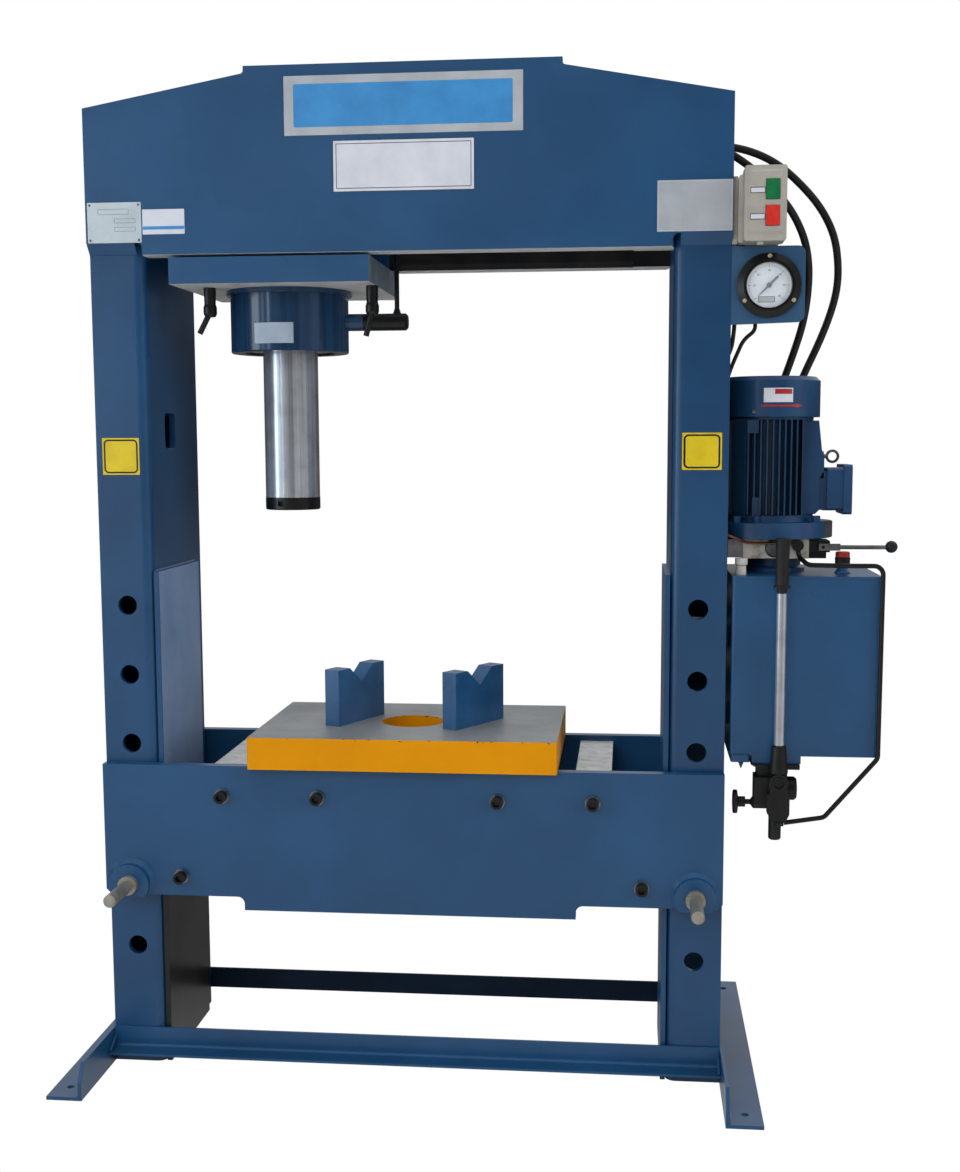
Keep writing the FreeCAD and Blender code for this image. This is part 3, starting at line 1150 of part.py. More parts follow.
nodes = """column_left column_right crown_front_plate crown_rear_plate crown_front_rail crown_rear_rail
foot_left foot_right tie_bar_front tie_bar_rear bed_front_beam bed_rear_beam bed_spacers bed_bolts
bed_pin_left bed_pin_right table_plate v_block_left v_block_right carriage_plate wheelset_left
wheelset_right cylinder_barrel lock_collar gland_ring ram_rod ram_tip port_fitting clamp_lever_left
clamp_lever_right control_box control_bracket button_green button_red gauge_plate gauge_case gauge_dial
gauge_needle gauge_glass tank manifold bell_housing motor_body fan_cover motor_fan terminal_box
directional_valve valve_lever breather filler_plug copper_pipe steel_pipe pump_body pump_lever
release_knob hose_fittings hose_outer hose_inner control_cable""".split()

doc.recompute()
for thing in doc.Objects:
    if "Invalid" in thing.State or "Error" in thing.State:
        raise RuntimeError("%s did not compute: %s" % (thing.Name, thing.State))
for name in nodes:
    piece = doc.getObject(name)
    if piece.Shape.isNull() or not piece.Shape.isValid():
        raise RuntimeError("%s has no valid shape" % name)
    piece.Label = name
    piece.Shape.exportStep("parts/%s.step" % name)
    print(name, "solids %d" % len(piece.Shape.Solids), "volume %.0f" % piece.Shape.Volume)
print("nodes", len(nodes))
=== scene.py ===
import bpy
import math
import numpy as np
from mathutils import Matrix, Vector


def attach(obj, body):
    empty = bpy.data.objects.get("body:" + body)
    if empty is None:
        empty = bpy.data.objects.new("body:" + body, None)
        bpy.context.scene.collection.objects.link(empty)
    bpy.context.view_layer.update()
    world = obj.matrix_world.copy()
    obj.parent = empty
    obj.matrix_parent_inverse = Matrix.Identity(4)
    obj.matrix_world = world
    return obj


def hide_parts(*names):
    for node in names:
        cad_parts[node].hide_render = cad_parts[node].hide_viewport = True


# workshop press, metres, X right, Y back, Z up, floor at z = 0

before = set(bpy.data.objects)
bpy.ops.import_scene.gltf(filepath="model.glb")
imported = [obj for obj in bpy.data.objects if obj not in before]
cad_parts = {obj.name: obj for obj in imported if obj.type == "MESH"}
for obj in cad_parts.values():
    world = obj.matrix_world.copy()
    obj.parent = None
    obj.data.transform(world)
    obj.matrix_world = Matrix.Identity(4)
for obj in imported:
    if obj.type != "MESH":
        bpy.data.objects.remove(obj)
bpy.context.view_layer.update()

cameraSetup = {
    "place": (0.4245, -2.9651, 1.2514),
    "turnDegrees": (83.47, -0.21, 5.76),
    "lens": 45.14,
    "filmHeight": 36,
    "shift": (-0.0006, 0.0210),
}


def makeCamera(setup):
    data = bpy.data.cameras.new("photoCamera")
    data.sensor_fit = "VERTICAL"
    data.sensor_height = setup["filmHeight"]
    data.lens = setup["lens"]
    data.shift_x, data.shift_y = setup["shift"]
    camera = bpy.data.objects.new("photoCamera", data)
    camera.location = setup["place"]
    tilt, roll, pan = (math.radians(v) for v in setup["turnDegrees"])
    turn = Matrix.Rotation(pan, 4, "Z") @ Matrix.Rotation(tilt, 4, "X") @ Matrix.Rotation(roll, 4, "Z")
    camera.rotation_euler = turn.to_euler()
    bpy.context.scene.collection.objects.link(camera)
    bpy.context.scene.camera = camera


# one hex value to the linear colour that the shaders use
def hexColor(text):
    channels = [int(text[i:i + 2], 16) / 255 for i in (1, 3, 5)]
    linear = [c / 12.92 if c <= 0.04045 else ((c + 0.055) / 1.055) ** 2.4 for c in channels]
    return (*linear, 1.0)


def grey(value):
    return (value, value, value, 1)


# adds one node, sets its values and joins its inputs
def addNode(tree, kind, values=None, links=None, **settings):
    node = tree.nodes.new(kind)
    for key, value in settings.items():
        setattr(node, key, value)
    for key, value in (values or {}).items():
        node.inputs[key].default_value = value
    for key, source in (links or {}).items():
        tree.links.new(source, node.inputs[key])
    return node


# one sum; each of its two terms is a number or a socket
def doMath(tree, operation, first, second):
    links = {i: v for i, v in enumerate((first, second)) if not isinstance(v, (int, float))}
    values = {i: v for i, v in enumerate((first, second)) if isinstance(v, (int, float))}
    return addNode(tree, "ShaderNodeMath", values, links, operation=operation).outputs[0]


# 0 to 1 as the value goes from one bound to the other
def rangeOf(tree, value, first, last):
    return addNode(tree, "ShaderNodeMapRange", {1: first, 2: last}, {0: value}).outputs[0]


def ramp(tree, source, stops):
    node = addNode(tree, "ShaderNodeValToRGB", links={"Fac": source})
    first, last = node.color_ramp.elements
    first.position, first.color = stops[0]
    last.position, last.color = stops[-1]
    for position, color in stops[1:-1]:
        node.color_ramp.elements.new(position).color = color
    return node.outputs["Color"]


def mixShaders(tree, factor, first, second):
    return addNode(tree, "ShaderNodeMixShader", links={0: factor, 1: first, 2: second}).outputs[0]


makeCamera(cameraSetup)

roomSetup = {
    "floorHalf": 18.0,
    "floorHeight": -0.0005,
    "floorMatt": "#d9d9d7",
    # the floor's brightness in reflections, at both ends of a span in Y
    "floorSpan": (-0.5, 0.4),
    "floorShine": (0.62, 0.16),
    "worldDiffuse": 0.30,
    # brightness of the walls in reflections, from the left side round the front to the right side
    "wallsFront": [(0.0, 0.34), (0.12, 0.4), (0.28, 0.15), (0.42, 0.11), (0.52, 0.02), (0.62, 0.04),
                   (1.0, 0.34)],
    "wallsBack": 0.045,
    # spans of the looking direction over which the front walls, the back and the two ceilings come in
    "frontSpan": (0.0, -0.3),
    "backSpan": (-0.3, 0.3),
    "rearCeiling": {"span": (0.10, 0.27), "glow": 0.85},
    "overhead": {"span": (0.45, 0.8), "glow": 0.6},
    # tint of the lamps that show in reflections
    "daylight": (0.74, 0.87, 1.0),
    "lamps": [
        # name, place, height aimed at, width, height, watts, seen in reflections
        ("doorLamp", (-3.2, -1.95, 1.5), 1.1, 1.0, 2.3, 27, True),
        ("paneLamp", (-2.66, -2.81, 1.5), 1.1, 0.16, 2.0, 3, True),
        ("stripLamp", (-2.0, -3.15, 1.5), 1.1, 0.2, 2.0, 6, True),
        ("frontLamp", (-1.0, -4.6, 3.0), 1.1, 3.0, 3.0, 74, False),
        ("fillLamp", (3.8, -1.9, 2.0), 0.9, 2.4, 2.4, 66, False),
        ("topLamp", (0.0, -0.3, 4.4), 0.5, 2.6, 2.6, 56, False),
        ("backLamp", (-1.2, 4.6, 2.6), 1.0, 3.0, 3.0, 60, False),
    ],
}


def emptyMaterial(name):
    material = bpy.data.materials.new(name)
    material.use_nodes = True
    material.node_tree.nodes.clear()
    return material, material.node_tree


# one shader for bounced light, one for reflections and one for the camera
def threeWays(tree, bounced, reflected, seen):
    ray = addNode(tree, "ShaderNodeLightPath")
    shown = mixShaders(tree, ray.outputs["Is Glossy Ray"], bounced, reflected)
    return mixShaders(tree, ray.outputs["Is Camera Ray"], shown, seen)


# pale floor: white to the camera, a softly lit sheet in reflections, matt for bounced light
def makeFloor(setup):
    half, z = setup["floorHalf"], setup["floorHeight"]
    mesh = bpy.data.meshes.new("studioFloor")
    corners = [(-half, -half, z), (half, -half, z), (half, half, z), (-half, half, z)]
    mesh.from_pydata(corners, [], [(0, 1, 2, 3)])
    floor = bpy.data.objects.new("studioFloor", mesh)
    bpy.context.scene.collection.objects.link(floor)
    paint, tree = emptyMaterial("paleFloor")
    matt = addNode(tree, "ShaderNodeBsdfDiffuse", {"Color": hexColor(setup["floorMatt"])})
    white = addNode(tree, "ShaderNodeEmission", {"Color": grey(1), "Strength": 1.0})
    where = addNode(tree, "ShaderNodeNewGeometry")
    depth = addNode(tree, "ShaderNodeSeparateXYZ", links={0: where.outputs["Position"]})
    bounds = (*setup["floorSpan"], *setup["floorShine"])
    glow = addNode(tree, "ShaderNodeMapRange", dict(enumerate(bounds, 1)), {0: depth.outputs["Y"]})
    shine = addNode(tree, "ShaderNodeEmission", {"Color": grey(1)}, {"Strength": glow.outputs[0]})
    shown = threeWays(tree, matt.outputs[0], shine.outputs[0], white.outputs[0])
    addNode(tree, "ShaderNodeOutputMaterial", links={"Surface": shown})
    floor.data.materials.append(paint)


# world: even soft light, dim walls and ceilings in reflections, white to the camera
def makeWorld(setup):
    world = bpy.data.worlds.new("studioWorld")
    bpy.context.scene.world = world
    world.use_nodes = True
    tree = world.node_tree
    tree.nodes.clear()
    way = addNode(tree, "ShaderNodeTexCoord")
    axes = addNode(tree, "ShaderNodeSeparateXYZ", links={0: way.outputs["Generated"]}).outputs
    across = rangeOf(tree, axes["X"], -1.0, 1.0)
    walls = ramp(tree, across, [(at, grey(value)) for at, value in setup["wallsFront"]])
    front = rangeOf(tree, axes["Y"], *setup["frontSpan"])
    back = doMath(tree, "MULTIPLY", doMath(tree, "SUBTRACT", 1.0, front), setup["wallsBack"])
    side = doMath(tree, "ADD", doMath(tree, "MULTIPLY", walls, front), back)
    rear, over = setup["rearCeiling"], setup["overhead"]
    ceiling = doMath(tree, "MULTIPLY", rangeOf(tree, axes["Z"], *rear["span"]),
                     rangeOf(tree, axes["Y"], *setup["backSpan"]))
    ceiling = doMath(tree, "MAXIMUM", doMath(tree, "MULTIPLY", ceiling, rear["glow"]),
                     doMath(tree, "MULTIPLY", rangeOf(tree, axes["Z"], *over["span"]), over["glow"]))
    shine = doMath(tree, "MAXIMUM", side, ceiling)
    soft = addNode(tree, "ShaderNodeBackground", {"Color": grey(1), "Strength": setup["worldDiffuse"]})
    dim = addNode(tree, "ShaderNodeBackground", {"Color": grey(1)}, {"Strength": shine})
    white = addNode(tree, "ShaderNodeBackground", {"Color": grey(1), "Strength": 1.0})
    shown = threeWays(tree, soft.outputs[0], dim.outputs[0], white.outputs[0])
    addNode(tree, "ShaderNodeOutputWorld", links={"Surface": shown})


def makeLamps(setup):
    for name, place, aim, width, height, watts, reflected in setup["lamps"]:
        data = bpy.data.lights.new(name, "AREA")
        data.shape = "RECTANGLE"
        data.size = width
        data.size_y = height
        data.energy = watts
        if reflected:
            data.color = setup["daylight"]
        lamp = bpy.data.objects.new(name, data)
        lamp.location = place
        lamp.rotation_euler = (Vector((0, 0, aim)) - Vector(place)).to_track_quat("-Z", "Y").to_euler()
        lamp.visible_glossy = reflected
        bpy.context.scene.collection.objects.link(lamp)


bpy.context.scene.view_settings.view_transform = "Standard"
makeFloor(roomSetup)
makeWorld(roomSetup)
makeLamps(roomSetup)
print("camera and room ready")


# object coordinates scaled so that one unit is the given size in millimetres
def patternPlace(tree, sizeMm, stretch=(1, 1, 1)):
    place = addNode(tree, "ShaderNodeTexCoord")
    scale = [s * 1000 / sizeMm for s in stretch]
    return addNode(tree, "ShaderNodeMapping", {"Scale": scale}, {"Vector": place.outputs["Object"]})


def noise(tree, sizeMm, detail=3.0, roughness=0.5, stretch=(1, 1, 1)):
    return addNode(tree, "ShaderNodeTexNoise", {"Scale": 1.0, "Detail": detail, "Roughness": roughness},
                   {"Vector": patternPlace(tree, sizeMm, stretch).outputs[0]}).outputs["Fac"]


# 1 where the object coordinate lies between the two values, in metres
def between(tree, axis, low, high):
    place = addNode(tree, "ShaderNodeTexCoord")
    value = addNode(tree, "ShaderNodeSeparateXYZ", links={0: place.outputs["Object"]}).outputs[axis]
    return doMath(tree, "MULTIPLY", doMath(tree, "GREATER_THAN", value, low),
                  doMath(tree, "LESS_THAN", value, high))


def inside(tree, ranges):
    mask = 1.0
    for axis, low, high in ranges:
        mask = doMath(tree, "MULTIPLY", mask, between(tree, axis, low, high))
    return mask


# rounded edges in the light, then the surface's own fine relief
def relief(tree, shader, height, strength, edgeMm):
    edge = addNode(tree, "ShaderNodeBevel", {"Radius": edgeMm / 1000}, samples=4)
    bump = addNode(tree, "ShaderNodeBump", {"Strength": strength, "Distance": 0.0005},
                   {"Height": height, "Normal": edge.outputs[0]})
    tree.links.new(bump.outputs[0], shader.inputs["Normal"])


# how every layer spreads its three colours, darkens its painted reflection streaks and varies its gloss in
# patches
layerSetup = {
    "colorStops": {"dark": 0.32, "color": 0.5, "light": 0.70},
    "reflectionStreakStops": (0.36, 0.62),
    "patchMm": 150,
    "patchStops": [(0.15, 0.85), (0.85, 1.2)],
}


# one layer of surface: slow colour drift, painted reflection streaks where given, patchy gloss, fine grain
def surface(tree, spec):
    shader = addNode(tree, "ShaderNodeBsdfPrincipled")
    drift = noise(tree, spec["driftMm"], 4.0, 0.6)
    tint = ramp(tree, drift, [(at, hexColor(spec[key])) for key, at in layerSetup["colorStops"].items()])
    reflectionStreak = spec.get("reflectionStreak")
    if reflectionStreak:
        lines = noise(tree, reflectionStreak["sizeMm"], 3.0, 0.65, reflectionStreak["stretch"])
        first, last = layerSetup["reflectionStreakStops"]
        shade = ramp(tree, lines, [(first, grey(reflectionStreak["dark"])), (last, grey(1.0))])
        tint = addNode(tree, "ShaderNodeMix", {0: 1.0}, {6: tint, 7: shade}, data_type="RGBA",
                       blend_type="MULTIPLY").outputs[2]
    tree.links.new(tint, shader.inputs["Base Color"])
    patches = noise(tree, layerSetup["patchMm"], 1.5, 0.4)
    gloss = [(at, grey(spec["roughness"] * share)) for at, share in layerSetup["patchStops"]]
    tree.links.new(ramp(tree, patches, gloss), shader.inputs["Roughness"])
    if spec.get("metallic"):
        shader.inputs["Metallic"].default_value = spec["metallic"]
    else:
        shader.inputs["IOR"].default_value = spec.get("ior", 1.5)
    shader.inputs["Specular IOR Level"].default_value = spec.get("specular", 0.5)
    grain = noise(tree, spec["grainMm"], 2.0, 0.5, spec.get("grainStretch", (1, 1, 1)))
    relief(tree, shader, grain, spec["bump"], spec.get("edgeMm", 1.2))
    return shader.outputs[0]


# a material of one surface, or of several where each further one covers its own zone
def finish(name, base, *overlays):
    material, tree = emptyMaterial(name)
    shown = surface(tree, surfaces[base])
    for zone, cover in overlays:
        shown = mixShaders(tree, inside(tree, zones[zone]), shown, surface(tree, surfaces[cover]))
    addNode(tree, "ShaderNodeOutputMaterial", links={"Surface": shown})
    return material


surfaces = {
    # sprayed gloss enamel on rolled plate: even coat, slow drift between passes, faint orange peel
    "frameBlue": {"color": "#19476f", "light": "#1d4d77", "dark": "#164167", "driftMm": 260,
                  "roughness": 0.3, "grainMm": 22, "bump": 0.02},
    # a darker copy of the frame's enamel, on the columns
    "columnBlue": {"color": "#154066", "light": "#19466e", "dark": "#123a5e", "driftMm": 260,
                   "roughness": 0.3, "grainMm": 22, "bump": 0.02},
    # a paler copy of the frame's enamel, on the small gauge panel
    "panelBlue": {"color": "#2f5273", "light": "#36597a", "dark": "#2a4c6c", "driftMm": 90,
                  "roughness": 0.3, "grainMm": 22, "bump": 0.02},
    # the same enamel where it lies wet and glassy on the turned barrel, with upright lines of painted
    # reflection in its colour
    "barrelBlue": {"color": "#213f5f", "light": "#264566", "dark": "#1c3855", "driftMm": 160,
                   "roughness": 0.13, "grainMm": 22, "bump": 0.02,
                   "reflectionStreak": {"sizeMm": 26, "stretch": (1, 1, 0.01), "dark": 0.55}},
    # painted shade: the frame's blue darkened nearly to black inside the right column and on the rear tie bar
    "shadeBlue": {"color": "#0d1f31", "light": "#10253a", "dark": "#0a1928", "driftMm": 160,
                  "roughness": 0.5, "specular": 0.15, "grainMm": 22, "bump": 0.03},
    # painted shade: near-black plate with a dull shine, inside the crown's rear plate, on its rear rail and
    # low on the left column's web
    "shadeBlack": {"color": "#211f1e", "light": "#2a2726", "dark": "#171616", "driftMm": 90,
                  "roughness": 0.3, "specular": 0.35, "grainMm": 18, "bump": 0.04},
    # painted reflection: pale grey on the undersides, where the glossy enamel mirrors the white floor
    "paleReflection": {"color": "#cfcecb", "light": "#d9d8d5", "dark": "#bfbebb", "driftMm": 50,
                   "roughness": 0.5, "grainMm": 12, "bump": 0.04},
    # grey on the carriage's right side, in place of the frame's blue
    "sideGrey": {"color": "#5b6874", "light": "#6b7883", "dark": "#495663", "driftMm": 60,
                 "roughness": 0.4, "grainMm": 16, "bump": 0.03},
    # a lighter copy of the frame's enamel, on the vee blocks
    "blockBlue": {"color": "#22527e", "light": "#285a88", "dark": "#1d4a74", "driftMm": 60,
                  "roughness": 0.25, "grainMm": 14, "bump": 0.03},
    # painted reflection: the doubler's upper half made milky grey-blue, where its gloss mirrors the pale
    # floor
    "doublerReflectionBlue": {"color": "#7089ad", "light": "#7890b3", "dark": "#647ea4", "driftMm": 170,
                    "roughness": 0.5, "grainMm": 20, "bump": 0.03},
    # satin enamel over castings, with their fine pitting
    "motorBlue": {"color": "#153b60", "light": "#1a4268", "dark": "#113355", "driftMm": 90,
                  "roughness": 0.33, "grainMm": 9, "bump": 0.06},
    # deep shade between the motor's fins
    "finBlue": {"color": "#163450", "light": "#1a3b59", "dark": "#122d47", "driftMm": 90,
                "roughness": 0.4, "grainMm": 9, "bump": 0.06},
    # plain black paint on levers and pipes, with a soft shine
    "blackPaint": {"color": "#0e0e0f", "light": "#141415", "dark": "#0a0a0b", "driftMm": 60,
                   "roughness": 0.35, "specular": 0.4, "grainMm": 7, "bump": 0.06},
    # black paint on rough castings, grainy and duller
    "castBlack": {"color": "#0f0f10", "light": "#161617", "dark": "#0a0a0b", "driftMm": 30,
                  "roughness": 0.42, "specular": 0.4, "grainMm": 5, "bump": 0.15},
    # warm grey textured coat of the starter box
    "boxGrey": {"color": "#9f9b92", "light": "#a7a39a", "dark": "#96928a", "driftMm": 60,
                "roughness": 0.45, "grainMm": 1.2, "bump": 0.16, "edgeMm": 2.2},
    # hard chrome, with painted reflection streaks: bright and dark lines along its length in its colour
    "chrome": {"color": "#c4c8cf", "light": "#ced2d8", "dark": "#b4b8c0", "driftMm": 45,
               "roughness": 0.22, "metallic": 0.65, "grainMm": 60, "bump": 0.0,
               "reflectionStreak": {"sizeMm": 9, "stretch": (1, 1, 0.01), "dark": 0.55}},
    # turned bars gone slightly yellow with oil
    "turnedSteel": {"color": "#a19c90", "light": "#b0aba0", "dark": "#888377", "driftMm": 20,
                    "roughness": 0.36, "metallic": 0.6, "grainMm": 8, "bump": 0.04},
    # plain bright steel
    "bareSteel": {"color": "#8b8c8c", "light": "#9b9c9c", "dark": "#757677", "driftMm": 25,
                  "roughness": 0.4, "metallic": 1.0, "grainMm": 1.5, "bump": 0.08},
    # hot dip zinc with its soft spangle
    "zinc": {"color": "#c2c6c6", "light": "#cfd3d3", "dark": "#adb2b3", "driftMm": 22,
             "roughness": 0.5, "metallic": 0.35, "grainMm": 14, "bump": 0.05},
    # washers, bright and a little scuffed
    "washerSteel": {"color": "#8a8f93", "light": "#9da2a6", "dark": "#73787c", "driftMm": 12,
                    "roughness": 0.38, "metallic": 1.0, "grainMm": 1, "bump": 0.06},
    # milled light alloy with brown oil stains and fine cutter lines
    "alloy": {"color": "#bdb8b0", "light": "#cbc6be", "dark": "#8e8275", "driftMm": 22,
              "roughness": 0.4, "metallic": 0.55, "grainMm": 1.3, "grainStretch": (0.05, 1, 1),
              "bump": 0.06},
    # the manifold's cast face, grey and dull
    "alloyDull": {"color": "#a3a1a4", "light": "#b0aeb4", "dark": "#8d8b8e", "driftMm": 22,
                  "roughness": 0.5, "metallic": 0.5, "grainMm": 1.6, "bump": 0.08},
    # bent copper tube, browned in places
    "copper": {"color": "#a06a4c", "light": "#b67c5b", "dark": "#7b4c35", "driftMm": 12,
               "roughness": 0.34, "metallic": 1.0, "grainMm": 3, "bump": 0.05},
    # moulded black plastic with a fine satin grain
    "blackPlastic": {"color": "#151516", "light": "#1c1c1d", "dark": "#101011", "driftMm": 25,
                     "roughness": 0.45, "grainMm": 0.8, "bump": 0.06, "ior": 1.46},
    # black rubber, nearly without shine
    "rubber": {"color": "#141414", "light": "#1b1b1b", "dark": "#0f0f0f", "driftMm": 25,
               "roughness": 0.55, "grainMm": 0.6, "bump": 0.1, "ior": 1.52},
    # glossy green button
    "green": {"color": "#0b6b3c", "light": "#0f7443", "dark": "#096036", "driftMm": 14,
              "roughness": 0.35, "grainMm": 0.8, "bump": 0.03, "ior": 1.46},
    # glossy red button
    "red": {"color": "#c8241c", "light": "#d22d24", "dark": "#b91f18", "driftMm": 14,
            "roughness": 0.35, "grainMm": 0.8, "bump": 0.03, "ior": 1.46},
    # deep red moulded cap
    "capRed": {"color": "#a3201c", "light": "#b02824", "dark": "#8f1a17", "driftMm": 10,
               "roughness": 0.4, "grainMm": 0.8, "bump": 0.05, "ior": 1.46},
    # off-white moulded plug
    "plugWhite": {"color": "#d2d0c8", "light": "#dbd9d2", "dark": "#c5c3bb", "driftMm": 12,
                  "roughness": 0.4, "grainMm": 0.8, "bump": 0.04, "ior": 1.46},
    # matt bluish white of the dial
    "dialPaint": {"color": "#dde3ee", "light": "#e3e9f2", "dark": "#d3dae6", "driftMm": 30,
                  "roughness": 0.5, "grainMm": 0.6, "bump": 0.02},
    # dark grey needle paint
    "needleBlack": {"color": "#39434f", "light": "#434d59", "dark": "#303944", "driftMm": 10,
                    "roughness": 0.4, "grainMm": 0.6, "bump": 0.02},
    # printed white film, faintly cool
    "filmWhite": {"color": "#c9ccd6", "light": "#d0d3dc", "dark": "#c1c4ce", "driftMm": 60,
                  "roughness": 0.4, "grainMm": 1, "bump": 0.02},
    # film on the barrel, coloured grey-blue
    "filmDull": {"color": "#97a5b4", "light": "#9eacba", "dark": "#8f9dac", "driftMm": 60,
                 "roughness": 0.3, "grainMm": 10, "bump": 0.0},
    # plain silver of thin plates
    "filmSilver": {"color": "#a2a7ad", "light": "#abb0b6", "dark": "#989da4", "driftMm": 70,
                   "roughness": 0.35, "grainMm": 1, "bump": 0.02},
    # bright blue print
    "filmBlue": {"color": "#2b82bf", "light": "#318ac7", "dark": "#2679b4", "driftMm": 60,
                 "roughness": 0.4, "grainMm": 1, "bump": 0.02},
    # strong yellow film
    "filmYellow": {"color": "#d3b80a", "light": "#dcc113", "dark": "#c8ae06", "driftMm": 40,
                   "roughness": 0.4, "grainMm": 1, "bump": 0.02},
    # black print
    "filmBlack": {"color": "#1a1a16", "light": "#21211d", "dark": "#131310", "driftMm": 30,
                  "roughness": 0.45, "grainMm": 1, "bump": 0.02},
    # pale green-grey of the maker's plate
    "filmPale": {"color": "#b3bec4", "light": "#bbc6cb", "dark": "#a9b4bb", "driftMm": 60,
                 "roughness": 0.4, "grainMm": 1, "bump": 0.02},
    # red print
    "filmRed": {"color": "#a02424", "light": "#aa2c2b", "dark": "#931e1f", "driftMm": 30,
                "roughness": 0.4, "grainMm": 1, "bump": 0.02},
    # pale brass of the gauge's screws
    "brassHead": {"color": "#cfc49c", "light": "#ded4b2", "dark": "#a89c74", "driftMm": 4,
                  "roughness": 0.35, "metallic": 0.7, "grainMm": 0.8, "bump": 0.04},
}

# ranges of object coordinates, in metres, that a further surface covers
zones = {
    # painted reflection: the doubler's upper half, lightened where its gloss mirrors the pale floor
    "doublerFace": [("X", -0.5035, -0.49), ("Y", -0.1625, 0.1695), ("Z", 0.5, 1.0005)],
    # painted shade low on the left column's web
    "leftWebLow": [("X", -0.5045, -0.49), ("Y", -0.1695, 0.15), ("Z", -0.001, 0.5)],
    # painted shade inside the right column's channel
    "rightChannel": [("X", 0.5045, 0.6105), ("Y", -0.1585, 0.1585)],
    # painted reflection of the floor on the crown's undersides
    "crownUnderside": [("Z", 1.60, 1.6083)],
    # painted shade inside the crown's rear plate
    "rearPlateInside": [("Y", 0.16, 0.1705), ("Z", 1.60, 1.70)],
    "carriageSide": [("X", -0.0653, -0.06)],
    # painted reflection of the floor on the carriage's underside
    "carriageUnderside": [("Z", 1.55, 1.5533)],
    "betweenFins": [("Z", 1.1105, 1.2925), ("X", 0.5, 0.757)],
    "liftingEye": [("X", 0.8, 0.9)],
    "washers": [("Y", -0.1972, 0.1972)],
    "manifoldSide": [("X", 0.5, 0.6432)],
    "manifoldPlug": [("X", 0.68, 0.725), ("Y", -0.13, -0.1102)],
    "gaugeHose": [("Z", 1.1502, 1.6)],
    "pumpGrip": [("Z", 0.97, 1.08)],
    "pumpSocket": [("Z", 0.5, 0.6825)],
    "valveBall": [("X", 0.9085, 0.95)],
    "breatherNeck": [("Z", 1.010, 1.0312)],
    "breatherBase": [("Z", 0.99, 1.010)],
}

frameEnamel = finish("frameEnamel", "frameBlue")
panelEnamel = finish("panelEnamel", "panelBlue")
# left column: painted reflection on the doubler's upper half, painted shade low on its web
leftColumn = finish("frameEnamelDoubler", "columnBlue", ("doublerFace", "doublerReflectionBlue"),
                    ("leftWebLow", "shadeBlack"))
# right column: painted shade inside its channel
rightColumn = finish("frameEnamelShadedChannel", "columnBlue", ("rightChannel", "shadeBlue"))
# crown front plate and rail: painted reflection on their undersides
underPlate = finish("frameEnamelPaleUnderside", "frameBlue", ("crownUnderside", "paleReflection"))
# crown rear rail: painted shade, with painted reflection on its underside
innerRail = finish("shadedRailPaleUnderside", "shadeBlack", ("crownUnderside", "paleReflection"))
# crown rear plate: painted shade inside, painted reflection underneath
rearPlate = finish("frameEnamelShadedInside", "frameBlue", ("rearPlateInside", "shadeBlack"),
                   ("crownUnderside", "paleReflection"))
# carriage: painted reflection on its underside
carriageEnamel = finish("carriageEnamel", "frameBlue", ("carriageSide", "sideGrey"),
                        ("carriageUnderside", "paleReflection"))
barrelEnamel = finish("barrelEnamel", "barrelBlue")
blockEnamel = finish("blockEnamel", "blockBlue")
# rear tie bar: painted shade all over
shadeEnamel = finish("shadeEnamel", "shadeBlue")
motorEnamel = finish("motorEnamel", "motorBlue")
motorCasting = finish("motorCasting", "motorBlue", ("betweenFins", "finBlue"), ("liftingEye", "bareSteel"))
blackEnamel = finish("blackEnamel", "blackPaint")
castEnamel = finish("castEnamel", "castBlack")
greyCoat = finish("greyCoat", "boxGrey")
chromeSteel = finish("chromeSteel", "chrome")
turnedSteel = finish("turnedSteel", "turnedSteel")
zincSteel = finish("zincSteel", "zinc")
bolts = finish("darkBoltsPaleWashers", "blackPaint", ("washers", "washerSteel"))
millAlloy = finish("millAlloy", "alloy", ("manifoldSide", "alloyDull"), ("manifoldPlug", "bareSteel"))
copperTube = finish("copperTube", "copper", ("gaugeHose", "rubber"))
pumpHandle = finish("chromeHandleBlackGrip", "chrome", ("pumpGrip", "rubber"),
                    ("pumpSocket", "castBlack"))
valveHandle = finish("steelRodBlackBall", "bareSteel", ("valveBall", "blackPlastic"))
breatherCap = finish("breatherRedCap", "capRed", ("breatherNeck", "blackPlastic"),
                     ("breatherBase", "frameBlue"))
blackMoulding = finish("blackMoulding", "blackPlastic")
blackRubber = finish("blackRubber", "rubber")
greenMoulding = finish("greenMoulding", "green")
redMoulding = finish("redMoulding", "red")
whitePlastic = finish("whitePlastic", "plugWhite")
dialPaint = finish("dialPaint", "dialPaint")
needlePaint = finish("needlePaint", "needleBlack")
filmWhite = finish("filmWhite", "filmWhite")
filmDull = finish("filmDull", "filmDull")
filmSilver = finish("filmSilver", "filmSilver")
filmBlue = finish("filmBlue", "filmBlue")
filmYellow = finish("filmYellow", "filmYellow")
filmBlack = finish("filmBlack", "filmBlack")
filmRed = finish("filmRed", "filmRed")
filmPale = finish("filmPale", "filmPale")
brassHead = finish("brassHead", "brassHead")
bareSteel = finish("bareSteel", "bareSteel")

# clear moulded lens: nearly nothing but its reflection, a little less sharp in patches
lensSetup = {"color": "#f4f8f8", "alpha": 0.10, "ior": 1.49, "cloudMm": 9,
             "roughness": [(0.3, 0.02), (0.8, 0.07)]}


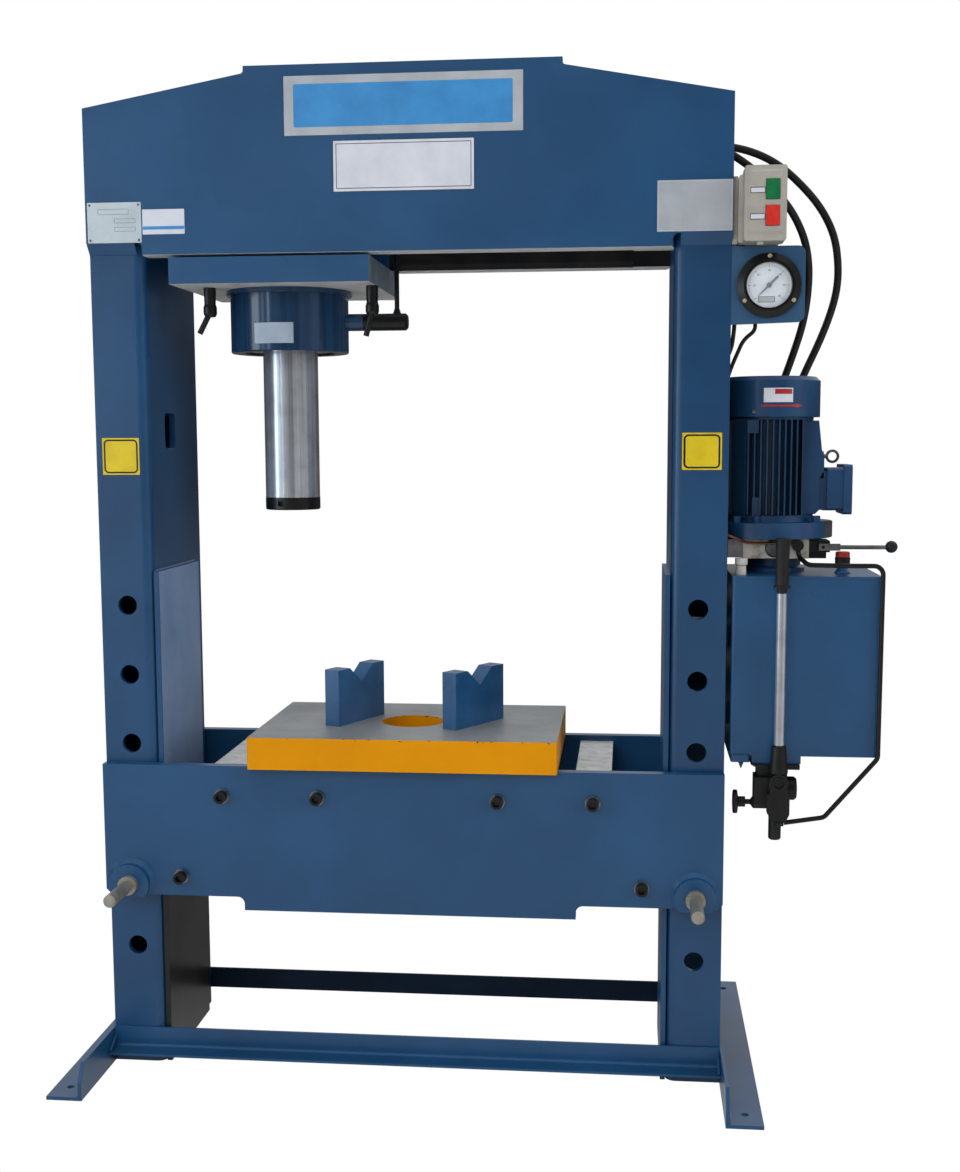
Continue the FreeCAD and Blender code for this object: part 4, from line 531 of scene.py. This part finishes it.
def makeLens(setup):
    material, tree = emptyMaterial("clearLens")
    shader = addNode(tree, "ShaderNodeBsdfPrincipled", {"Base Color": hexColor(setup["color"]),
                                                        "Alpha": setup["alpha"], "IOR": setup["ior"]})
    gloss = [(at, grey(value)) for at, value in setup["roughness"]]
    tree.links.new(ramp(tree, noise(tree, setup["cloudMm"]), gloss), shader.inputs["Roughness"])
    addNode(tree, "ShaderNodeOutputMaterial", links={"Surface": shader.outputs[0]})
    return material


clearLens = makeLens(lensSetup)

# table plate: ground top, orange enamel on its sides, chips of dark bare steel along the upper edge
tableSetup = {
    "specular": 0.12,
    "topMetal": 0.3,
    "cloudMm": 160,
    "steel": [(0.3, "#7c8082"), (0.7, "#95999b")],
    "paint": [(0.3, "#d68a00"), (0.7, "#e09300")],
    # a chip shows where the chip noise is over its limit and the height is in the span, in metres
    "chip": {"sizeMm": 7, "over": 0.66, "span": (0.6805, 0.7), "color": "#3a352c"},
    # grinding lines, drawn out along the table
    "grind": {"sizeMm": 1.6, "stretch": (0.06, 1, 1), "bump": 0.05, "roughness": [(0.3, 0.34), (0.7, 0.5)]},
    "edgeMm": 1.0,
}


def makeTablePaint(setup):
    material, tree = emptyMaterial("groundTopOrangeSides")
    shader = addNode(tree, "ShaderNodeBsdfPrincipled", {"Specular IOR Level": setup["specular"]})
    normal = addNode(tree, "ShaderNodeNewGeometry")
    up = addNode(tree, "ShaderNodeSeparateXYZ", links={0: normal.outputs["Normal"]})
    isTop = doMath(tree, "GREATER_THAN", up.outputs["Z"], 0.9)
    cloud = noise(tree, setup["cloudMm"], 6.0, 0.6)
    grind, chip = setup["grind"], setup["chip"]
    lines = noise(tree, grind["sizeMm"], 3.0, 0.5, grind["stretch"])
    steel = ramp(tree, cloud, [(at, hexColor(text)) for at, text in setup["steel"]])
    paint = ramp(tree, cloud, [(at, hexColor(text)) for at, text in setup["paint"]])
    chipped = doMath(tree, "GREATER_THAN", noise(tree, chip["sizeMm"], 2.0), chip["over"])
    chipped = doMath(tree, "MULTIPLY", chipped, between(tree, "Z", *chip["span"]))
    sides = addNode(tree, "ShaderNodeMix", {7: hexColor(chip["color"])}, {0: chipped, 6: paint},
                    data_type="RGBA")
    shown = addNode(tree, "ShaderNodeMix", links={0: isTop, 6: sides.outputs[2], 7: steel}, data_type="RGBA")
    tree.links.new(shown.outputs[2], shader.inputs["Base Color"])
    tree.links.new(doMath(tree, "MULTIPLY", isTop, setup["topMetal"]), shader.inputs["Metallic"])
    gloss = [(at, grey(value)) for at, value in grind["roughness"]]
    tree.links.new(ramp(tree, lines, gloss), shader.inputs["Roughness"])
    relief(tree, shader, lines, grind["bump"], setup["edgeMm"])
    addNode(tree, "ShaderNodeOutputMaterial", links={"Surface": shader.outputs[0]})
    return material


tablePaint = makeTablePaint(tableSetup)

nodeFinish = {
    frameEnamel: "foot_left foot_right tie_bar_front bed_front_beam bed_rear_beam tank",
    panelEnamel: "gauge_plate",
    blockEnamel: "v_block_left v_block_right",
    rightColumn: "column_right",
    underPlate: "crown_front_plate crown_front_rail",
    innerRail: "crown_rear_rail",
    rearPlate: "crown_rear_plate",
    carriageEnamel: "carriage_plate",
    barrelEnamel: "cylinder_barrel lock_collar",
    shadeEnamel: "tie_bar_rear",
    leftColumn: "column_left",
    motorEnamel: "bell_housing fan_cover terminal_box",
    motorCasting: "motor_body",
    tablePaint: "table_plate",
    zincSteel: "bed_spacers",
    bolts: "bed_bolts",
    turnedSteel: "bed_pin_left bed_pin_right wheelset_left wheelset_right gland_ring",
    chromeSteel: "ram_rod",
    pumpHandle: "pump_lever",
    valveHandle: "valve_lever",
    blackEnamel: "ram_tip port_fitting clamp_lever_left clamp_lever_right gauge_case "
                 "directional_valve steel_pipe hose_fittings",
    castEnamel: "pump_body release_knob",
    greyCoat: "control_box control_bracket",
    greenMoulding: "button_green",
    redMoulding: "button_red",
    blackMoulding: "motor_fan",
    breatherCap: "breather",
    dialPaint: "gauge_dial",
    needlePaint: "gauge_needle",
    clearLens: "gauge_glass",
    millAlloy: "manifold",
    whitePlastic: "filler_plug",
    copperTube: "copper_pipe",
    blackRubber: "control_cable",
}
for material, names in nodeFinish.items():
    for name in names.split():
        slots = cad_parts[name].data.materials
        slots.clear()
        slots.append(material)
print("materials on", sum(len(names.split()) for names in nodeFinish.values()), "nodes")


# closed skin over rings of points: neighbours along and round each ring joined by quads, with one flat
# cap at each end unless the last ring is the first again; turned over if its volume comes out negative
def skin(rings):
    rings = np.asarray(rings, float)
    loop = np.allclose(rings[0], rings[-1])
    if loop:
        rings = rings[:-1]
    count, around = rings.shape[:2]
    points = rings.reshape(-1, 3)
    i, j = np.meshgrid(np.arange(count if loop else count - 1), np.arange(around), indexing="ij")
    after = (i + 1) % count
    quads = np.stack([i * around + j, i * around + (j + 1) % around, after * around + (j + 1) % around,
                      after * around + j], axis=-1).reshape(-1, 4)
    p = points[quads]
    volume = np.einsum("ij,ij->i", np.cross(p[:, 1] - p[:, 0], p[:, 2] - p[:, 0]), p[:, 0]).sum()
    volume += np.einsum("ij,ij->i", np.cross(p[:, 2] - p[:, 0], p[:, 3] - p[:, 0]), p[:, 0]).sum()
    caps = [] if loop else [list(range(around))[::-1], list(range((count - 1) * around, count * around))]
    for cap in caps:
        q = points[cap]
        fan = np.cross(q[1:-1] - q[0], q[2:] - q[0])
        volume += (fan @ q[0]).sum()
    faces = quads.tolist() + caps
    if volume < 0:
        faces = [face[::-1] for face in faces]
    return points, faces


# one object out of several closed skins, each with its material
def addPiece(name, parts, body, smooth=False):
    points, faces, slots, materials = [], [], [], []
    start = 0
    for rings, material in parts:
        newPoints, newFaces = skin(rings)
        points.append(newPoints)
        faces += [[index + start for index in face] for face in newFaces]
        if material not in materials:
            materials.append(material)
        slots += [materials.index(material)] * len(newFaces)
        start += len(newPoints)
    mesh = bpy.data.meshes.new(name)
    mesh.from_pydata(np.concatenate(points).tolist(), [], faces)
    for material in materials:
        mesh.materials.append(material)
    mesh.polygons.foreach_set("material_index", slots)
    mesh.polygons.foreach_set("use_smooth", [smooth] * len(faces))
    mesh.update()
    piece = bpy.data.objects.new(name, mesh)
    bpy.context.scene.collection.objects.link(piece)
    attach(piece, body)


# the same box in X and Z drawn in by a margin on all four sides
def inset(box, margin):
    (x0, z0), (x1, z1) = box
    return (x0 + margin, z0 + margin), (x1 - margin, z1 - margin)


# rounded rectangle: four quarter circles about the corner centres, in order round the edge
def roundedOutline(box, radius, steps=5):
    (x0, z0), (x1, z1) = inset(box, radius)
    angle = np.linspace(0, np.pi / 2, steps)
    quarters = [np.stack([x + radius * np.cos(angle + turn), z + radius * np.sin(angle + turn)], 1)
                for turn, (x, z) in zip(np.arange(4) * np.pi / 2, [(x1, z1), (x0, z1), (x0, z0), (x1, z0)])]
    return np.concatenate(quarters)


# an outline in X and Z set at one depth in Y
def atDepth(outline, y):
    return np.stack([outline[:, 0], np.full(len(outline), y), outline[:, 1]], 1)


leastRadius = 0.05


# flat plate on a face that looks forwards, with its front edge broken; mm in, m out
def frontPlate(box, radius, face, thick, lift=0.1):
    edge = min(0.25, thick * 0.4)
    outer = roundedOutline(box, radius)
    inner = roundedOutline(inset(box, edge), max(radius - edge, leastRadius))
    back = face - lift
    front = back - thick
    return np.array([atDepth(outer, back), atDepth(outer, front + edge), atDepth(inner, front)]) / 1000


# line drawn round a rounded rectangle: a thin flat band whose ring of four corners runs round the outline
def frontBorder(box, radius, width, face, thick):
    outer = roundedOutline(box, radius)
    inner = roundedOutline(inset(box, width), max(radius - width, leastRadius))
    front = face - thick
    rings = [atDepth(outer, face), atDepth(outer, front), atDepth(inner, front), atDepth(inner, face)]
    rings = np.swapaxes(np.array(rings) / 1000, 0, 1)
    return np.concatenate([rings, rings[:1]])


# plate bent round an upright cylinder: u runs round it in mm from its front, positive to the right
def bentPlate(centre, radius, span, heights, face, thick, taper=None, count=25):
    (start, end), (low, high) = span, heights
    u = np.linspace(start, end, count)
    half, middle = (high - low) / 2, (high + low) / 2
    share = np.ones(count) if taper is None else taper((u - start) / (end - start))
    angle = u / radius
    rings = []
    for depth, side in ((face, -1), (face, 1), (face + thick, 1), (face + thick, -1)):
        rings.append(np.stack([centre[0] + (radius + depth) * np.sin(angle),
                               centre[1] - (radius + depth) * np.cos(angle),
                               middle + side * half * share], 1))
    return np.swapaxes(np.array(rings), 0, 1) / 1000


# lathe form along -Y: circles of the profile's radii at the profile's depths in front of a face
def frontTurned(x, z, face, profile, around):
    angle = np.linspace(0, 2 * np.pi, around, endpoint=False)
    rings = [np.stack([x + r * np.cos(angle), np.full(around, face - d), z + r * np.sin(angle)], 1)
             for r, d in profile]
    return np.array(rings) / 1000


# plates and films on the crown, left bare: corners in X and Z, mm
crownPlates = {
    "face": -188,
    "brand": ((-221, 1821), (226, 1929)),
    "brandField": ((-203, 1836), (207, 1914)),
    "white": ((-130, 1717), (136, 1811)),
    "maker": ((-606, 1631), (-500.5, 1706.5)),
    "makerFields": [((-585, 1684), (-525, 1694)), ((-553, 1668), (-512, 1676)),
                    ((-553, 1652.5), (-512, 1660.5))],
    "rivetInset": 5,
    "rivetHead": [(2.2, 0), (2.2, 0.5), (1.2, 1.1)],
    "small": ((-498.5, 1646), (-416.5, 1692.5)),
    "smallBand": ((-497.5, 1655), (-417.5, 1661)),
    "notice": ((472, 1634), (609.4, 1726)),
}


def makeCrownPlates(setup):
    face = setup["face"]
    addPiece("crownBrandPlate", [(frontPlate(setup["brand"], 1.0, face, 0.6), filmSilver),
                                 (frontPlate(setup["brandField"], 3.0, face - 0.7, 0.2, 0.02), filmBlue)],
             "frame")
    white = setup["white"]
    addPiece("crownWhitePlate", [(frontPlate(white, 1.0, face, 0.5), filmWhite),
                                 (frontBorder(inset(white, 6), 0.6, 1.2, face - 0.6, 0.15), filmBlack),
                                 (frontBorder(white, 0.6, 1.0, face - 0.6, 0.15), filmBlack)],
             "frame")
    (x0, z0), (x1, z1) = inset(setup["maker"], setup["rivetInset"])
    parts = [(frontPlate(setup["maker"], 1.5, face, 0.8), filmPale)]
    parts += [(frontBorder(box, 0.5, 0.5, face - 0.9, 0.1), filmBlack) for box in setup["makerFields"]]
    parts += [(frontTurned(x, z, face - 0.9, setup["rivetHead"], 14), bareSteel)
              for x, z in ((x0, z0), (x1, z0), (x0, z1), (x1, z1))]
    addPiece("crownMakerPlate", parts, "frame")
    addPiece("crownSmallFilm", [(frontPlate(setup["small"], 0.8, face, 0.3), filmWhite),
                                (frontPlate(setup["smallBand"], 0.3, face - 0.4, 0.1, 0.02), filmBlue)],
             "frame")
    addPiece("crownNoticePlate", [(frontPlate(setup["notice"], 1.0, face, 0.6), filmSilver),
                                  (frontBorder(inset(setup["notice"], 1.5), 0.5, 0.6, face - 0.7, 0.1),
                                   filmWhite)], "frame")


makeCrownPlates(crownPlates)

# plain yellow squares with a dark line round them, one on each column
columnFilms = {
    "face": -170,
    "line": {"inset": 3, "radius": 9, "width": 3.2},
    "boxes": {"columnFilmLeft": ((-598, 1191), (-524, 1262.5)),
              "columnFilmRight": ((523, 1198.5), (597, 1268))},
}


def makeColumnFilms(setup):
    face, line = setup["face"], setup["line"]
    for name, box in setup["boxes"].items():
        band = frontBorder(inset(box, line["inset"]), line["radius"], line["width"], face - 0.4, 0.15)
        addPiece(name, [(frontPlate(box, 1.0, face, 0.3), filmYellow), (band, filmBlack)],
                 "frame")


makeColumnFilms(columnFilms)

# bare film on the barrel: span round it and heights, mm
barrelFilm = {"centre": (-260, 0), "radius": 118, "span": (-47, 33), "heights": (1445, 1485)}
addPiece("barrelFilm", [(bentPlate(barrelFilm["centre"], barrelFilm["radius"], barrelFilm["span"],
                                   barrelFilm["heights"], 0.1, 0.3), filmDull)], "carriage")
print("plates and films made")

# white film with a red field on the fan cover, and a red arrow below it
coverFilm = {
    "centre": (697, -20),
    "radius": 97,
    "film": ((-20, 36), (1325, 1352)),
    "field": ((1, 34), (1340.5, 1350)),
    "arrow": ((-24, 58), (1314, 1323)),
    # shares: the shaft's length and height, and the height that is left at the tip
    "shaft": 0.8,
    "shaftHeight": 0.42,
    "tip": 0.02,
}


# the arrow keeps its shaft's height, then jumps to the whole height and falls in a straight line to the tip
def arrowHeight(t):
    head = (1 - t) / (1 - coverFilm["shaft"]) * (1 - coverFilm["tip"]) + coverFilm["tip"]
    return np.where(t < coverFilm["shaft"], coverFilm["shaftHeight"], head)


def onCover(key, face, thick, **more):
    return bentPlate(coverFilm["centre"], coverFilm["radius"], *coverFilm[key], face, thick, **more)


addPiece("fanCoverFilm", [(onCover("film", 0.1, 0.3), filmWhite), (onCover("field", 0.42, 0.12), filmRed),
                          (onCover("arrow", 0.1, 0.2, taper=arrowHeight, count=41), filmRed)],
         "frame")

# gauge: three screws in the ring; ticks, numerals and a bare outlined field on the dial
gauge = {
    "x": 678,
    "z": 1536.5,
    "screwFace": -180.6,
    "screwRadius": 52.5,
    "screwDegrees": (90, 212, 328),
    "screwHead": [(4.2, 0.0), (4.2, 1.2), (3.4, 2.4), (1.6, 2.9), (1.4, 1.9)],
    "dialFace": -173.5,
    "startDegrees": 225,
    "tenDegrees": 45,
    "greatest": 60,
    "tickOuter": 37.5,
    # inner radius and width of a tick at each unit and at each ten
    "unitTick": (34.5, 0.45),
    "tenTick": (32.5, 0.9),
    "figureRadius": 27.5,
    "field": ((658, 1505.5), (689, 1516.5)),
}


def gaugeSpot(radius, degrees):
    angle = math.radians(degrees)
    return gauge["x"] + radius * math.cos(angle), gauge["z"] + radius * math.sin(angle)


screwSpots = [gaugeSpot(gauge["screwRadius"], degrees) for degrees in gauge["screwDegrees"]]
addPiece("gaugeScrews",
         [(frontTurned(*spot, gauge["screwFace"], gauge["screwHead"], 18), brassHead) for spot in screwSpots],
         "frame", smooth=True)


# short bar on the dial that points to its centre: two ends of four corners turned to the tick's angle
def dialTick(degrees, inner, width):
    angle = math.radians(degrees)
    out = np.array([math.cos(angle), math.sin(angle)])
    side = np.array([-out[1], out[0]]) * width / 2
    back, front = gauge["dialFace"] - 0.05, gauge["dialFace"] - 0.2
    rings = []
    for r in (inner, gauge["tickOuter"]):
        middle = np.array([gauge["x"], gauge["z"]]) + out * r
        a, b = middle - side, middle + side
        rings.append([(a[0], back, a[1]), (b[0], back, b[1]), (b[0], front, b[1]), (a[0], front, a[1])])
    return np.array(rings) / 1000


# plain numerals: each figure is a few level and upright bars, named by the ends that they join in a box
# of one by one, which is then stretched to the figure's size
barEnds = {"a": (0, 1, 1, 1), "b": (1, 0.5, 1, 1), "c": (1, 0, 1, 0.5), "d": (0, 0, 1, 0),
           "e": (0, 0, 0, 0.5), "f": (0, 0.5, 0, 1), "g": (0, 0.5, 1, 0.5)}
figureBars = {"0": "abcdef", "1": "bc", "2": "abdeg", "3": "abcdg", "4": "bcfg", "5": "acdfg",
              "6": "acdefg"}
figureSize = {"width": 1.7, "height": 3.2, "step": 2.9, "halfLine": 0.28, "corner": 0.1}


def numeralBars(text, middleX, middleZ):
    width, height, halfLine = (figureSize[key] for key in ("width", "height", "halfLine"))
    low = middleZ - height / 2
    bars = []
    for place, figure in enumerate(text):
        left = middleX + figureSize["step"] * (place - (len(text) - 1) / 2) - width / 2
        for bar in figureBars[figure]:
            x0, z0, x1, z1 = barEnds[bar]
            ends = (left + x0 * width, low + z0 * height), (left + x1 * width, low + z1 * height)
            bars.append(frontPlate(inset(ends, -halfLine), figureSize["corner"], gauge["dialFace"] - 0.05,
                                   0.12, 0.02))
    return bars


def makeDialMarks():
    marks = []
    for unit in range(gauge["greatest"] + 1):
        tick = gauge["unitTick"] if unit % 10 else gauge["tenTick"]
        marks.append(dialTick(gauge["startDegrees"] - gauge["tenDegrees"] * unit / 10, *tick))
    for ten in range(1, gauge["greatest"] // 10 + 1):
        spot = gaugeSpot(gauge["figureRadius"], gauge["startDegrees"] - gauge["tenDegrees"] * ten)
        marks += numeralBars(str(10 * ten), *spot)
    marks.append(frontBorder(gauge["field"], 1.0, 1.0, gauge["dialFace"] - 0.2, 0.1))
    field = frontPlate(gauge["field"], 1.0, gauge["dialFace"] - 0.05, 0.15, 0.02)
    addPiece("dialMarks", [(rings, filmBlack) for rings in marks] + [(field, filmSilver)],
             "frame")


makeDialMarks()

# starter box: two bare label plates with a dark line round them
starterLabels = {"face": -242.5, "left": 636, "right": 662.5, "halfHeight": 5.2,
                 "heights": {"boxLabelUpper": 1696.5, "boxLabelLower": 1650.5}}
for name, z in starterLabels["heights"].items():
    box = ((starterLabels["left"], z - starterLabels["halfHeight"]),
           (starterLabels["right"], z + starterLabels["halfHeight"]))
    addPiece(name, [(frontPlate(box, 0.8, starterLabels["face"], 0.5), filmWhite),
                    (frontBorder(box, 0.8, 1.1, starterLabels["face"] - 0.6, 0.1), filmBlack)],
             "frame")

# weld beads where plates meet: both ends of each, mm
beadLines = {
    "doublerTop": ((-502, -163, 1001.5), (-502, 103, 1001.5)),
    "doublerRear": ((-501.5, 106.5, 30), (-501.5, 106.5, 1000)),
    "footLeftFront": ((-607, -176, 55), (-607, -213, 36)),
    "footLeftSide": ((-607, -172.5, 70), (-607, -172.5, 42)),
    "footRightFront": ((607, -176, 55), (607, -213, 36)),
    "footRightSide": ((607, -172.5, 70), (607, -172.5, 42)),
}
beadForm = {"radius": 3.2, "ripple": 4.5, "perRipple": 4, "leastSteps": 8, "swell": 0.12,
            "taper": 3, "endShare": 0.35, "around": 10, "askew": (0.3, 0.5, 0.8)}


# weld bead along a straight line: circles whose radius swells once a ripple and shrinks at both ends
def weldBead(first, last):
    first, last = np.array(first, float), np.array(last, float)
    length = np.linalg.norm(last - first)
    along = (last - first) / length
    side = np.cross(along, beadForm["askew"])
    side /= np.linalg.norm(side)
    other = np.cross(along, side)
    steps = max(int(length / beadForm["ripple"] * beadForm["perRipple"]), beadForm["leastSteps"])
    s = np.linspace(0, length, steps)
    ripples = 1 + beadForm["swell"] * np.cos(2 * np.pi * s / beadForm["ripple"])
    ends = np.clip(np.minimum(s, length - s) / beadForm["taper"] + beadForm["endShare"], 0, 1)
    radius = beadForm["radius"] * ripples * ends
    angle = np.linspace(0, 2 * np.pi, beadForm["around"], endpoint=False)
    ring = np.cos(angle)[:, None] * side + np.sin(angle)[:, None] * other
    centre = first + s[:, None] * along
    return (centre[:, None, :] + radius[:, None, None] * ring) / 1000


addPiece("weldBeads", [(weldBead(*ends), frameEnamel) for ends in beadLines.values()],
         "frame", smooth=True)

# screw in the fan cover's skirt
coverScrew = {"place": (659.3, 1308.4), "face": -108.8, "head": [(4.5, -3), (4.5, 1.2), (3.4, 2.2)]}
addPiece("fanCoverScrews",
         [(frontTurned(*coverScrew["place"], coverScrew["face"], coverScrew["head"], 16), bareSteel)],
         "frame", smooth=True)
print("small fittings made")

# the two hoses from the bulkhead in the crown down to the manifold: routes in mm, the rest in metres
hoses = {
    "diameter": 0.015,
    "outer": [(550, 90, 1840), (600, 90, 1840), (664, 92, 1827), (720, 95, 1799), (772, 100, 1752),
              (807, 105, 1710), (832, 108, 1660), (841, 112, 1604), (840, 116, 1555), (828, 120, 1506),
              (808, 124, 1452), (779, 128, 1388), (756, 130, 1330), (738, 130, 1265), (727, 130, 1210),
              (725, 130, 1170), (725, 130, 1118)],
    "outerLength": 0.9199,
    "inner": [(550, 50, 1832), (592, 50, 1832), (650, 52, 1796), (690, 56, 1762), (727, 60, 1723),
              (752, 66, 1687), (771, 73, 1644), (780, 84, 1597), (780, 97, 1545), (774, 108, 1494),
              (762, 117, 1448), (744, 127, 1392), (722, 130, 1330), (702, 130, 1270), (686, 130, 1210),
              (682, 130, 1170), (682, 130, 1118)],
    "innerLength": 0.8533,
}


def makeHose(name, points, node, diameter):
    curve = bpy.data.curves.new(name, "CURVE")
    curve.dimensions = "3D"
    spline = curve.splines.new("NURBS")
    spline.points.add(len(points) - 1)
    for point, (x, y, z) in zip(spline.points, points):
        point.co = (x / 1000, y / 1000, z / 1000, 1)
    spline.order_u = 3
    spline.use_endpoint_u = True
    spline.resolution_u = 8
    curve.bevel_depth = diameter / 2
    curve.bevel_resolution = 5
    curve.use_fill_caps = True
    hose = bpy.data.objects.new(name, curve)
    bpy.context.scene.collection.objects.link(hose)
    curve.materials.append(blackRubber)
    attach(hose, "frame")
    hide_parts(node)


makeHose("hoseOuter", hoses["outer"], "hose_outer", hoses["diameter"])
makeHose("hoseInner", hoses["inner"], "hose_inner", hoses["diameter"])
print("hoses made")
